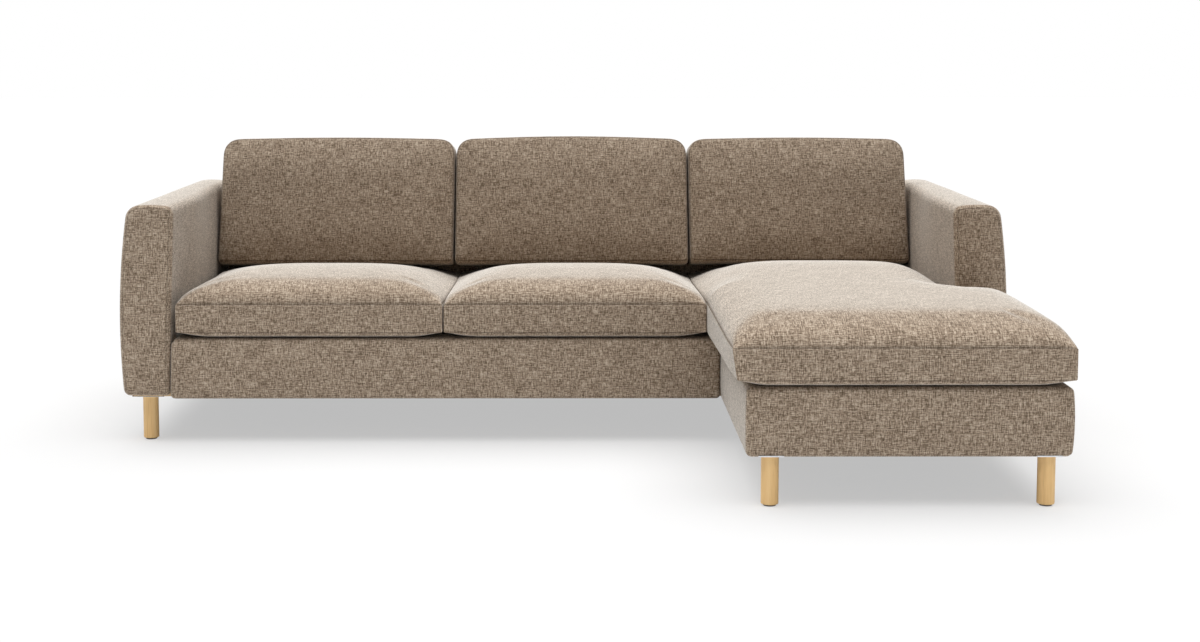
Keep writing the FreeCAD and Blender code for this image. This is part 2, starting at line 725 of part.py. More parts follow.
border_solid = prism(
    "chaise_border_solid",
    "XY_Plane",
    BORDER_OUTLINE,
    "leg_height",
    "base_top",
    [("base_round - 2", border_edge)],
)
frame_room = block(
    "chaise_frame_room", CHAISE_X, (CHAISE_FRAME_FRONT, CROSS_REAR), (FRAME_BOTTOM, DECK_BOTTOM)
)
rear_room = block(
    "chaise_rear_room",
    (CHAISE_X[0], BESIDE_ARM),
    (f"{CROSS_REAR} - clip_leaf", f"{BODY_FRONT} + clip_leaf"),
    ("leg_height - clip_leaf", "base_top + clip_leaf"),
)
deck_room = block(
    "chaise_deck_room",
    WELL_X,
    (WELL_FRONT, f"{CROSS_REAR} - base_lip"),
    (f"{DECK_BOTTOM} - clip_leaf", "base_top + clip_leaf"),
)
deck_strip = block(
    "chaise_deck_strip",
    (WELL_X[0], BESIDE_ARM),
    (f"{CROSS_REAR} - base_lip - clip_leaf", f"{BODY_FRONT} + clip_leaf"),
    (f"{DECK_BOTTOM} - clip_leaf", "base_top + clip_leaf"),
)
cloth_room = block(
    "chaise_cloth_room",
    (f"{CHAISE_X[0]} + bottom_fold", f"{CHAISE_X[1]} - bottom_fold"),
    (f"{CHAISE_FRAME_FRONT} + bottom_fold", f"{CROSS_REAR} - bottom_fold"),
    ("leg_height - clip_leaf", f"{FRAME_BOTTOM} + clip_leaf"),
)
cloth_strip = block(
    "chaise_cloth_strip",
    (f"{CHAISE_X[0]} + bottom_fold", NARROW_RIGHT),
    (f"{CROSS_REAR} - bottom_fold - clip_leaf", f"{BODY_FRONT} + clip_leaf"),
    ("leg_height - clip_leaf", f"{FRAME_BOTTOM} + clip_leaf"),
)
node(
    "chaise_base_cover",
    less(
        "chaise_base_cover",
        border_solid,
        [frame_room, rear_room, deck_room, deck_strip, cloth_room, cloth_strip],
    ),
)


# Arms. Each has two posts, two rails, a thin board on both faces and a padded cover.

def mirrored(text, side):
    """The expression on the right arm, or its mirror image on the left arm."""
    return text if side == "right" else f"0 - ( {text} )"


def span(low, high, side):
    """A (low, high) pair across the arm, in rising order on either side."""
    if side == "right":
        return (low, high)
    return (mirrored(high, side), mirrored(low, side))


TIMBER_X = (f"{ARM_FRAME_INNER} + arm_board", f"{ARM_FRAME_OUTER} - arm_board")
ARM_FRAME_TOP = "( arm_height - arm_crown - arm_top_padding )"
POST_REAR = BACK_FRAME_REAR


def arm(side):
    timber = span(*TIMBER_X, side)
    post_z = (f"{FRAME_BOTTOM} + post_width", f"{ARM_FRAME_TOP} - rail_thickness")
    posts = []
    for place, deep in ARM_POSTS.items():
        post_y = (f"{deep} - post_width / 2", f"{deep} + post_width / 2")
        post = block(f"{side}_arm_{place}_blank", timber, post_y, post_z)
        start = mirrored(f"{TIMBER_X[0]} - clip_leaf", side)
        reach = "arm_bolt_length - rail_thickness - arm_board + 2 * clip_leaf"
        if side == "left":
            start = f"{start} - ( {reach} )"
        bores = bore_row(f"{side}_arm_{place}", start, reach, [(deep, level) for level in BOLT_LEVELS])
        posts.append(less(f"{side}_arm_{place}_post", post, bores))
    node(f"{side}_arm_posts", group(f"{side}_arm_posts", posts))
    rails_y = (POST_FRONT, POST_REAR)
    low_z = (FRAME_BOTTOM, f"{FRAME_BOTTOM} + post_width")
    low_rail = block(f"{side}_arm_low_rail", timber, rails_y, low_z)
    top_z = (f"{ARM_FRAME_TOP} - rail_thickness", ARM_FRAME_TOP)
    top_rail = block(f"{side}_arm_top_rail", timber, rails_y, top_z)
    node(f"{side}_arm_rails", group(f"{side}_arm_rails", [low_rail, top_rail]))
    boards_z = (FRAME_BOTTOM, ARM_FRAME_TOP)
    inner = block(f"{side}_arm_inner_blank", span(ARM_FRAME_INNER, TIMBER_X[0], side), rails_y, boards_z)
    edge = f"{ARM_FRAME_INNER} - clip_leaf"
    through = "arm_board + 2 * clip_leaf"
    start = edge if side == "right" else mirrored(f"{edge} + {through}", side)
    bores = bore_row(f"{side}_arm_board", start, through, ARM_BOLT_PLACES)
    inner_board = less(f"{side}_arm_inner_board", inner, bores)
    outer_x = span(TIMBER_X[1], ARM_FRAME_OUTER, side)
    outer_board = block(f"{side}_arm_outer_board", outer_x, rails_y, boards_z)
    node(f"{side}_arm_boards", group(f"{side}_arm_boards", [inner_board, outer_board]))
    shoulder = "( arm_height - arm_crown )"
    outline = [
        (ARM_INNER, ARM_BOTTOM, ""),
        (ARM_OUTER, ARM_BOTTOM, "arm_outer_bow"),
        (ARM_OUTER, f"{shoulder} - arm_shoulder", "arm_shoulder * 0.2929"),
        (f"{ARM_OUTER} - arm_shoulder", shoulder, "arm_crown"),
        (f"{ARM_INNER} + arm_shoulder", shoulder, "arm_shoulder * 0.2929"),
        (ARM_INNER, f"{shoulder} - arm_shoulder", "arm_inner_bow"),
        (ARM_INNER, "base_top", ""),
    ]
    outline = [(mirrored(across, side), up, bow) for across, up, bow in outline]
    ease = "arm_front_round"
    bow = f"{ease} * 0.2929"
    ends = (f"{ARM_FACE} - clip_leaf", f"{RIGHT} + clip_leaf")
    plan = [
        (ARM_FACE, REAR, ""),
        (ARM_FACE, f"{BODY_FRONT} + {ease}", bow),
        (f"{ARM_FACE} + {ease}", BODY_FRONT, ""),
        (f"{RIGHT} - {ease}", BODY_FRONT, bow),
        (RIGHT, f"{BODY_FRONT} + {ease}", ""),
        (RIGHT, REAR, ""),
    ]
    plan = [(mirrored(across, side), deep, bow_text) for across, deep, bow_text in plan]
    profile = (
        (BODY_FRONT, ARM_BOTTOM, ""),
        (REAR, ARM_BOTTOM, ""),
        (REAR, "arm_height", ""),
        (f"{BODY_FRONT} + 2 * {ease}", "arm_height", f"2 * {bow}"),
        (BODY_FRONT, f"arm_height - 2 * {ease}", ""),
    )
    across_solid = prism(f"{side}_arm_section", "XZ_Plane", outline, BODY_FRONT, REAR)
    plan_solid = prism(f"{side}_arm_plan", "XY_Plane", plan, ARM_BOTTOM, "arm_height")
    profile_solid = prism(f"{side}_arm_profile", "YZ_Plane", profile, *span(*ends, side))
    eased = shared(f"{side}_arm_eased", across_solid, plan_solid)
    solid = shared(f"{side}_arm_solid", eased, profile_solid)
    room = block(
        f"{side}_arm_room",
        span(ARM_FRAME_INNER, ARM_FRAME_OUTER, side),
        rails_y,
        (f"{ARM_BOTTOM} - clip_leaf", ARM_FRAME_TOP),
    )
    inner_room = block(
        f"{side}_arm_seat_room",
        span(f"{ARM_FACE} - clip_leaf", f"{ARM_FRAME_INNER} + clip_leaf", side),
        (POST_FRONT, POST_REAR),
        (f"{ARM_BOTTOM} - clip_leaf", "base_top"),
    )
    node(f"{side}_arm_cover", less(f"{side}_arm_cover", solid, [room, inner_room]))


arm("left")
arm("right")

# Bolts of the arms, put in from inside the seat frame

arm_bolts = []
for side in ("left", "right"):
    for index, (deep, level) in enumerate(ARM_BOLT_PLACES):
        inner = f"{ARM_FRAME_INNER} - rail_thickness"
        head_x = f"{inner} - bolt_head_height"
        shank_x = inner
        if side == "left":
            head_x = mirrored(inner, side)
            shank_x = mirrored(f"{inner} + arm_bolt_length", side)
        arm_bolts.append(
            joined(
                f"{side}_arm_bolt_{index}",
                [
                    hexagon(
                        f"{side}_arm_bolt_head_{index}",
                        (head_x, deep, level),
                        "bolt_head_across",
                        "bolt_head_height",
                        "x",
                    ),
                    rod(
                        f"{side}_arm_bolt_shank_{index}",
                        (shank_x, deep, level),
                        "bolt_diameter",
                        "arm_bolt_length",
                        "x",
                    ),
                ],
            )
        )
node("arm_bolts", group("arm_bolts", arm_bolts))

# Bolts and nuts that hold the two units together at the seam

seam_bolts = []
for index, (deep, level) in enumerate(SEAM_BOLT_PLACES):
    start = f"{FRAME_SEAM} - rail_thickness"
    grip = "2 * rail_thickness"
    head = hexagon(
        f"seam_bolt_head_{index}",
        (f"{start} - bolt_head_height", deep, level),
        "bolt_head_across",
        "bolt_head_height",
        "x",
    )
    shank = rod(
        f"seam_bolt_shank_{index}",
        (start, deep, level),
        "bolt_diameter",
        f"{grip} + 2 * bolt_head_height",
        "x",
    )
    seam_bolts.append(joined(f"seam_bolt_{index}", [head, shank]))
    nut = hexagon(
        f"seam_nut_blank_{index}",
        (f"{start} + {grip}", deep, level),
        "bolt_head_across",
        "bolt_head_height",
        "x",
    )
    thread = rod(
        f"seam_nut_bore_{index}",
        (f"{start} + {grip} - clip_leaf", deep, level),
        "bolt_diameter + bolt_clearance / 2",
        "bolt_head_height + 2 * clip_leaf",
        "x",
    )
    seam_bolts.append(less(f"seam_nut_{index}", nut, [thread]))
node("unit_bolts", group("unit_bolts", seam_bolts))

# Back frames with their webbing and covers

BACK_TOP = "( arm_height - back_drop )"
BACK_ROOM_TOP = f"( {BACK_TOP} - back_padding )"
BACK_Y = (BACK_FRAME_FRONT, BACK_FRAME_REAR)
BACK_END = f"( {ARM_FACE} - cushion_clearance )"


def back(unit, low, high, wide_low, wide_high, webs):
    """One unit's back: low and high are its cover's ends, wide_low and wide_high its bottom rail's."""
    bottom = (FRAME_BOTTOM, f"{FRAME_BOTTOM} + back_rail_height")
    middle = ("base_top", "base_top + back_rail_height")
    top = (f"{BACK_ROOM_TOP} - back_rail_height", BACK_ROOM_TOP)
    inner = (f"{low} + post_width", f"{high} - post_width")
    rails = [
        block(f"{unit}_back_bottom_rail", (wide_low, wide_high), BACK_Y, bottom),
        block(f"{unit}_back_middle_rail", inner, BACK_Y, middle),
        block(f"{unit}_back_top_rail", (low, high), BACK_Y, top),
    ]
    node(f"{unit}_back_rails", group(f"{unit}_back_rails", rails))
    post_z = (bottom[1], top[0])
    posts = [
        block(f"{unit}_back_left_post", (low, inner[0]), BACK_Y, post_z),
        block(f"{unit}_back_right_post", (inner[1], high), BACK_Y, post_z),
    ]
    node(f"{unit}_back_posts", group(f"{unit}_back_posts", posts))
    strips = []
    for index, centre in enumerate(spread(f"( {inner[0]} )", f"( {inner[1]} )", webs)):
        strips.append(
            block(
                f"{unit}_web_{index}",
                (f"{centre} - web_width / 2", f"{centre} + web_width / 2"),
                (f"{BACK_FRAME_FRONT} - web_thickness", BACK_FRAME_FRONT),
                (middle[0], BACK_ROOM_TOP),
            )
        )
    node(f"{unit}_back_webbing", group(f"{unit}_back_webbing", strips))
    bow = "back_round * 0.2929"
    front_inner = f"{BACK_FRONT} + back_padding"
    section = (
        (BACK_FRONT, "base_top", ""),
        (front_inner, "base_top", ""),
        (front_inner, BACK_ROOM_TOP, ""),
        (BACK_FRAME_REAR, BACK_ROOM_TOP, ""),
        (BACK_FRAME_REAR, "leg_height", ""),
        (REAR, "leg_height", ""),
        (REAR, f"{BACK_TOP} - back_round", bow),
        (f"{REAR} - back_round", BACK_TOP, ""),
        (f"{BACK_FRONT} + back_round", BACK_TOP, bow),
        (BACK_FRONT, f"{BACK_TOP} - back_round", ""),
    )
    node(f"{unit}_back_cover", prism(f"{unit}_back_cover", "YZ_Plane", section, low, high))


back("sofa", f"( 0 - {BACK_END} )", f"( {FRAME_SEAM} )", SOFA_LEFT, FRAME_SEAM, 8)
back("chaise", f"( {FRAME_SEAM} )", BACK_END, FRAME_SEAM, NARROW_RIGHT, 4)

# Cushions. Each is what a side outline and a front outline have in common,
# a stitched cover with its foam core inside.

SEAT_BOTTOM = "( base_top + cushion_clearance )"
SEAT_REAR = f"( {BACK_FRONT} - 3 * cushion_clearance )"
FOOT_FRONT = f"( {BACK_FRONT} - back_cushion_foot )"


def seat_side(front, shoulder, crown, inset):
    """Outline of a seat cushion from the side, drawn in by the inset."""
    run = "seat_shoulder_run"
    bulge = f"( {crown} - {shoulder} )"
    return (
        (f"{front} + seat_corner_taper + {inset}", f"{SEAT_BOTTOM} + {inset}", ""),
        (f"{SEAT_REAR} - {inset}", f"{SEAT_BOTTOM} + {inset}", ""),
        (f"{SEAT_REAR} - {inset}", f"base_top + {shoulder} - seat_fall - {inset}", ""),
        (FOOT_FRONT, f"base_top + {shoulder} - {inset}", bulge),
        (f"{front} + {run}", f"base_top + {shoulder} - {inset}", "seat_corner_taper"),
        (f"{front} + {inset}", "base_top + seat_upper_seam", ""),
        (f"{front} + {inset}", "base_top + seat_lower_seam", ""),
    )


def seat_front(low, high, shoulder, crown, inset):
    """Outline of a seat cushion from the front, drawn in by the inset. Its crown stands
    a little over the side outline's, so that the two don't only touch in a line."""
    run = "( seat_shoulder_run / 2 )"
    bulge = f"( {crown} - {shoulder} )"
    level = f"base_top + {shoulder} + cushion_gap / 2 - {inset}"
    edge = "seat_corner_taper"
    return (
        (f"{low} + {edge} + {inset}", f"{SEAT_BOTTOM} + {inset}", ""),
        (f"{high} - {edge} - {inset}", f"{SEAT_BOTTOM} + {inset}", ""),
        (f"{high} - {inset}", "base_top + seat_lower_seam", ""),
        (f"{high} - {inset}", "base_top + seat_upper_seam", f"{edge} / 2"),
        (f"{high} - {run} - {inset}", level, bulge),
        (f"{low} + {run} + {inset}", level, f"{edge} / 2"),
        (f"{low} + {inset}", "base_top + seat_upper_seam", ""),
        (f"{low} + {inset}", "base_top + seat_lower_seam", ""),
    )


def pillow(name, side_outline, front_outline, across, deep):
    """The common part of a side outline padded across and a front outline padded in depth."""
    side = prism(f"{name}_side", "YZ_Plane", side_outline, *across)
    front = prism(f"{name}_front", "XZ_Plane", front_outline, *deep)
    return shared(name, side, front)


def cushion(name, make):
    """A cover with its core: make(label, inset) gives the solid drawn in by the inset."""
    cover = less(f"{name}_cover", make(f"{name}_outside", "0"), [make(f"{name}_inside", "cushion_wall")])
    node(f"{name}_cover", cover)
    node(f"{name}_core", make(f"{name}_core", "( cushion_wall + core_gap )"))


def seat_cushion(name, low, high):
    front = f"( {BODY_FRONT} - seat_overhang )"

    def make(label, inset):
        return pillow(
            label,
            seat_side(front, "seat_shoulder", "seat_crown", inset),
            seat_front(low, high, "seat_shoulder", "seat_crown", inset),
            (low, high),
            (front, SEAT_REAR),
        )

    cushion(name, make)


CUSHION_LEFT = f"( 0 - {ARM_FACE} + cushion_gap )"
CUSHION_RIGHT = f"( {ARM_FACE} - cushion_gap )"
CHAISE_CUSHION_LEFT = f"( {SEAM} - base_padding * 2 )"
seat_cushion("seat_cushion_left", CUSHION_LEFT, "( seat_split_offset - cushion_gap / 2 )")
seat_cushion(
    "seat_cushion_middle",
    "( seat_split_offset + cushion_gap / 2 )",
    f"( {CHAISE_CUSHION_LEFT} - cushion_gap )",
)


def chaise_cushion():
    front = CHAISE_FRONT
    low = CHAISE_CUSHION_LEFT
    high = f"( {CHAISE_RIGHT} + cushion_gap )"
    notch = f"( {BODY_FRONT} - cushion_gap )"

    def make(label, inset):
        whole = pillow(
            f"{label}_whole",
            seat_side(front, "chaise_shoulder", "chaise_crown", inset),
            seat_front(low, high, "chaise_shoulder", "chaise_crown", inset),
            (low, high),
            (front, SEAT_REAR),
        )
        corner = block(
            f"{label}_notch",
            (f"{CUSHION_RIGHT} - {inset}", f"{high} + cushion_gap"),
            (f"{notch} - {inset}", f"{SEAT_REAR} + cushion_gap"),
            (f"{SEAT_BOTTOM} - cushion_gap", "base_top + chaise_crown + cushion_gap"),
        )
        return less(label, whole, [corner])

    cushion("chaise_cushion", make)


chaise_cushion()


def back_cushion(name, low, high, shoulder):
    """A leaning back cushion on seat cushions whose tops are at the shoulder above the base."""
    foot = f"( base_top + {shoulder} + cushion_clearance )"
    heel_y = f"( {SEAT_REAR} - cushion_clearance )"
    slope = f"( seat_fall / ( {SEAT_REAR} - {FOOT_FRONT} ) )"
    heel_z = f"( {foot} - {slope} * ( {heel_y} - {FOOT_FRONT} ) )"

    def make(label, inset):
        side_outline = (
            (
                f"{FOOT_FRONT} + back_cushion_heel + {inset}",
                f"{foot} - {slope} * back_cushion_heel + {inset}",
                "",
            ),
            (f"{heel_y} - {inset}", f"{heel_z} + {inset}", ""),
            (f"{heel_y} - {inset}", f"{BACK_TOP} - {inset}", ""),
            (
                f"{FOOT_FRONT} + back_cushion_lean + back_cushion_top - {inset}",
                f"overall_height - back_cushion_heel - {inset}",
                "",
            ),
            (
                f"{FOOT_FRONT} + back_cushion_lean + back_cushion_top - back_cushion_heel - {inset}",
                f"overall_height - {inset}",
                "",
            ),
            (
                f"{FOOT_FRONT} + back_cushion_lean + back_cushion_heel + {inset}",
                f"overall_height - {inset}",
                "",
            ),
            (
                f"{FOOT_FRONT} + back_cushion_lean + {inset}",
                f"overall_height - back_cushion_heel - {inset}",
                "back_cushion_bow",
            ),
            (f"{FOOT_FRONT} + {inset}", f"{foot} + 2 * back_cushion_heel", ""),
        )
        corner = "back_cushion_corner"
        ends = (f"( {low} + {inset} )", f"( {high} - {inset} )")
        front_outline = (
            (ends[0], heel_z, ""),
            (ends[1], heel_z, ""),
            (ends[1], f"overall_height - {corner} - {inset}", f"{corner} * 0.2929"),
            (f"{ends[1]} - {corner}", f"overall_height - {inset}", ""),
            (f"{ends[0]} + {corner}", f"overall_height - {inset}", f"{corner} * 0.2929"),
            (ends[0], f"overall_height - {corner} - {inset}", ""),
        )
        depth = (FOOT_FRONT, f"{REAR} + back_cushion_top")
        return pillow(label, side_outline, front_outline, (low, high), depth)

    cushion(name, make)


BACK_SPLITS = (
    CUSHION_LEFT,
    "back_cushion_split_left",
    "back_cushion_split_right",
    CUSHION_RIGHT,
)
BACK_CUSHIONS = (
    ("back_cushion_left", "seat_shoulder"),
    ("back_cushion_middle", "seat_shoulder"),
    ("back_cushion_right", "chaise_shoulder"),
)
for index, (name, shoulder) in enumerate(BACK_CUSHIONS):
    low_end = BACK_SPLITS[index] if index == 0 else f"( {BACK_SPLITS[index]} + cushion_gap / 2 )"
    high_end = BACK_SPLITS[index + 1] if index == 2 else f"( {BACK_SPLITS[index + 1]} - cushion_gap / 2 )"
    back_cushion(name, low_end, high_end, shoulder)

doc.recompute()

# Nothing is written unless every object and every sub-part is sound

for piece in doc.Objects:
    if "Invalid" in piece.State or "Error" in piece.State:
        raise RuntimeError(f"{piece.Label} did not compute: {piece.State}")
for piece in nodes:
    if piece.Shape.isNull() or not piece.Shape.isValid() or not piece.Shape.Solids:
        raise RuntimeError(f"{piece.Label} has no sound shape")

os.makedirs("parts", exist_ok=True)
whole = FreeCAD.BoundBox()
for piece in nodes:
    piece.Shape.exportStep(f"parts/{piece.Label}.step")
    whole.add(piece.Shape.BoundBox)
    print(piece.Label, len(piece.Shape.Solids), round(piece.Shape.Volume / 1000), "cm3")
print(len(nodes), "sub-parts,", whole)
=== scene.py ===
import json
from math import pi, radians

import bmesh
import bpy
import numpy as np
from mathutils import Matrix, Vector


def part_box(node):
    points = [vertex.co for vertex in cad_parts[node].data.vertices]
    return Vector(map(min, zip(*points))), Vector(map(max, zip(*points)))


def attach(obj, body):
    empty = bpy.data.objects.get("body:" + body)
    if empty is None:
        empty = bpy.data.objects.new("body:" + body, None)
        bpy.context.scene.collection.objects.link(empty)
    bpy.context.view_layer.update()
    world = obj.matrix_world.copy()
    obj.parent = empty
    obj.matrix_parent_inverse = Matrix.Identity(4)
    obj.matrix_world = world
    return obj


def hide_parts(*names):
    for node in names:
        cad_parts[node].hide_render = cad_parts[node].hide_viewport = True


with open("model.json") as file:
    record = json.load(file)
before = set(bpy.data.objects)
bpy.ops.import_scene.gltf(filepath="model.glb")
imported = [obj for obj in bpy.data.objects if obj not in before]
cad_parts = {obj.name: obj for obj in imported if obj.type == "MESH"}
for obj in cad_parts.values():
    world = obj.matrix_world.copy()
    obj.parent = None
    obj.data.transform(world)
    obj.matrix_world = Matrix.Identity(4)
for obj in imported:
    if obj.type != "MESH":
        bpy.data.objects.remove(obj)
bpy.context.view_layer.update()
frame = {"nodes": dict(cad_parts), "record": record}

# Sizes are metres of the frame: x runs to the viewer's right, y to the rear and z up.

LEFT, DEEP, UP = AXES = 0, 1, 2
SAME = 1e-4  # places closer than this are one place
TINY = 1e-9


# Modelling: a block is added at its size and place, cut into a fine grid,
# and the padding is then shaped by moving the grid's points.


def deselect():
    bpy.ops.object.select_all(action="DESELECT")


def active(piece):
    deselect()
    piece.select_set(True)
    bpy.context.view_layer.objects.active = piece


def block(name, low, high):
    """A box piece from its lowest to its highest corner."""
    deselect()
    middle = [(a + b) / 2 for a, b in zip(low, high)]
    size = [b - a for a, b in zip(low, high)]
    bpy.ops.mesh.primitive_cube_add(size=1, location=middle, scale=size)
    piece = bpy.context.object
    piece.name = name
    bpy.ops.object.transform_apply(location=True, rotation=True, scale=True)
    return piece


def cut(piece, axis, places):
    """Cuts the whole piece by planes across one axis."""
    active(piece)
    normal = [0, 0, 0]
    normal[axis] = 1
    bpy.ops.object.mode_set(mode="EDIT")
    for place in places:
        spot = [0, 0, 0]
        spot[axis] = place
        bpy.ops.mesh.select_all(action="SELECT")
        bpy.ops.mesh.bisect(plane_co=spot, plane_no=normal)
    bpy.ops.object.mode_set(mode="OBJECT")


def rows(low, high, step, low_edge=(), high_edge=()):
    """Cutting places between two ends: given distances from each end, and even steps between."""
    first = low + max(low_edge, default=0)
    last = high - max(high_edge, default=0)
    count = max(1, round((last - first) / step))
    even = [first + (last - first) * i / count for i in range(count + 1)]
    places = [low + edge for edge in low_edge] + [high - edge for edge in high_edge] + even
    return sorted({round(place, 5) for place in places if low + SAME < place < high - SAME})


def cut_grid(piece, low, high, steps, edges):
    """Cuts a box into a grid. Every axis has its step and the rows near its low and high end."""
    for axis, step, (low_edge, high_edge) in zip(AXES, steps, edges):
        cut(piece, axis, rows(low[axis], high[axis], step, low_edge, high_edge))


def draw_out(piece, chosen, reach):
    """Extrudes the faces that chosen(centre, normal) picks."""
    active(piece)
    bpy.ops.object.mode_set(mode="EDIT")
    bpy.ops.mesh.select_mode(type="FACE")
    bpy.ops.mesh.select_all(action="DESELECT")
    mesh = bmesh.from_edit_mesh(piece.data)
    for face in mesh.faces:
        face.select_set(chosen(face.calc_center_median(), face.normal))
    bmesh.update_edit_mesh(piece.data)
    bpy.ops.mesh.extrude_region_move(TRANSFORM_OT_translate={"value": reach})
    bpy.ops.object.mode_set(mode="OBJECT")


def change(piece, kind, **settings):
    """Puts a modifier with its settings on the active piece and applies it."""
    modifier = piece.modifiers.new(kind.lower(), kind)
    for setting, value in settings.items():
        setattr(modifier, setting, value)
    bpy.ops.object.modifier_apply(modifier=modifier.name)


def points(piece):
    """The places of a piece's points, one row each."""
    places = np.empty(len(piece.data.vertices) * 3)
    piece.data.vertices.foreach_get("co", places)
    return places.reshape(-1, 3)


def move_points(piece, places):
    piece.data.vertices.foreach_set("co", places.ravel())
    piece.data.update()


def ramp(value, start, length):
    """0 up to the start, 1 from a length behind it on, even between."""
    return np.clip((value - start) / length, 0, 1)


def near(distance, reach):
    """1 at a wall, falling evenly to 0 at the reach."""
    return 1 - ramp(distance, 0, reach)


def swell(distance, run):
    """Rise of padding from its seam: 0 at the seam, steep at first, 1 from the run on."""
    return np.sqrt(1 - near(distance, run) ** 2)


def soft_step(value):
    """0 below 0, 1 above 1, smooth between."""
    value = np.clip(value, 0, 1)
    return value * value * (3 - 2 * value)


def to_walls(box, low, high, axes):
    """How far the points are inside a box's walls: the low and the high wall of each axis."""
    return [wall for axis in axes for wall in (box[:, axis] - low[axis], high[axis] - box[:, axis])]


def eased(places, low, high, radius, flat=()):
    """Rounds the box's edges. Between the axes in flat, a square corner is left for round_corners."""
    past = places - np.clip(places, np.array(low) + radius, np.array(high) - radius)
    size = np.abs(past)
    square = size[:, list(flat)].max(axis=1, initial=0)
    others = [axis for axis in AXES if axis not in flat]
    length = np.sqrt(square**2 + (size[:, others] ** 2).sum(axis=1))
    scale = np.where(length > 0, size.max(axis=1) / np.maximum(length, TINY), 1)
    return places - past + past * scale[:, None]


def round_corners(places, low, high, foot=(0, 0), top=(0, 0)):
    """Turns the square corners of a section, seen from the front, into arcs. Foot and top hold
    the radii of the lower and the upper corners, low side first; 0 leaves a corner as it is."""
    places = places.copy()
    for level, inward, radii in ((low[UP], 1, foot), (high[UP], -1, top)):
        for side, toward, radius in ((low[LEFT], 1, radii[0]), (high[LEFT], -1, radii[1])):
            across = (side + toward * radius - places[:, LEFT]) * toward
            along = (level + inward * radius - places[:, UP]) * inward
            inside = (across > 0) & (along > 0)
            length = np.maximum(np.hypot(across, along), TINY)
            shift = np.where(inside, 1 - np.maximum(across, along) / length, 0)
            places[:, LEFT] += across * shift * toward
            places[:, UP] += along * shift * inward
    return places


# Padding: the filling presses on the cloth, the seams are drawn in, and the cloth is laid.

FILLING_PRESSURE = 4
FILLING_FRAMES = 20
FILLING_REACH = 0.008
# the point attribute that holds how much shade is painted along the seams
SEAM_SHADE_ATTRIBUTE = "seam"
SIDE_SHIFT, TOP_SHIFT = 7.3, 3.1  # sides and tops are cut from other stretches of the cloth


def fill(piece, held, freedom):
    """Lets the filling press on the cloth for a few frames. Held points are sewn down, the others
    stay within its reach, and freedom says how much of the way along each axis stays."""
    active(piece)
    start = points(piece)
    sewn = piece.vertex_groups.new(name="sewn")
    sewn.add([int(i) for i in np.flatnonzero(held)], 1.0, "REPLACE")
    cloth = piece.modifiers.new("filling", "CLOTH")
    cloth.settings.vertex_group_mass = sewn.name
    cloth.settings.use_pressure = True
    cloth.settings.uniform_pressure_force = FILLING_PRESSURE
    cloth.settings.effector_weights.gravity = 0
    for frame_number in range(1, FILLING_FRAMES + 1):
        bpy.context.scene.frame_set(frame_number)
    bpy.ops.object.modifier_apply(modifier=cloth.name)
    bpy.context.scene.frame_set(1)
    piece.vertex_groups.clear()
    moved = points(piece) - start
    length = np.maximum(np.linalg.norm(moved, axis=1), TINY)
    kept = FILLING_REACH * np.tanh(length / FILLING_REACH) / length
    move_points(piece, start + moved * (kept[:, None] * np.array(freedom)))


def sew(piece, seam, depth, shade=1.0):
    """Draws the seam into the padding and marks it for the fabric, whose colour is darker there:
    painted shade in the seam's fold.
    """
    places = points(piece)
    normals = np.empty(len(piece.data.vertices) * 3)
    piece.data.vertices.foreach_get("normal", normals)
    move_points(piece, places - normals.reshape(-1, 3) * (seam * depth)[:, None])
    # the seam's painted shade, as strong as the shade argument says
    seam_shade = piece.data.attributes.new(SEAM_SHADE_ATTRIBUTE, "FLOAT", "POINT")
    seam_shade.data.foreach_set("value", (seam * shade).astype(np.float32))


def lay_cloth(piece):
    """Lays the fabric's pattern on a piece in metres, each face from the side it turns to."""
    mesh = piece.data
    corners = np.empty(len(mesh.loops), dtype=np.int64)
    mesh.loops.foreach_get("vertex_index", corners)
    normals = np.empty(len(mesh.polygons) * 3)
    mesh.polygons.foreach_get("normal", normals)
    counts = np.empty(len(mesh.polygons), dtype=np.int64)
    mesh.polygons.foreach_get("loop_total", counts)
    side = np.repeat(np.abs(normals.reshape(-1, 3)).argmax(axis=1), counts)
    at = points(piece)[corners]
    across = np.where(side == LEFT, at[:, DEEP] + SIDE_SHIFT, at[:, LEFT])
    along = np.where(side == UP, at[:, DEEP] + TOP_SHIFT, at[:, UP])
    mesh.uv_layers[0].data.foreach_set("uv", np.column_stack((across, along)).ravel())


def finish_soft(piece, body, nodes):
    """Smooths an upholstered piece, lays its cloth and puts it in its nodes' place."""
    active(piece)
    change(piece, "SUBSURF", levels=1, render_levels=1)
    bpy.ops.object.shade_smooth()
    lay_cloth(piece)
    piece.data.materials.clear()
    piece.data.materials.append(FINISHES["woven_fabric"])
    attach(piece, body)
    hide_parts(*nodes)


# Finishes. A Value is a number that changes over a surface; sums of values
# add their own Math nodes.


class Value:
    def __init__(self, nodes, socket):
        self.nodes = nodes
        self.socket = socket

    def math(self, operation, first, second=0.0):
        return self.nodes.node("ShaderNodeMath", {"operation": operation}, {0: first, 1: second})

    def __add__(self, other):
        return self.math("ADD", self, other)

    def __sub__(self, other):
        return self.math("SUBTRACT", self, other)

    def __rsub__(self, other):
        return self.math("SUBTRACT", other, self)

    def __mul__(self, other):
        return self.math("MULTIPLY", self, other)

    __radd__ = __add__

    def sine(self):
        return self.math("SINE", self)

    def power(self, exponent):
        return self.math("POWER", self, exponent)


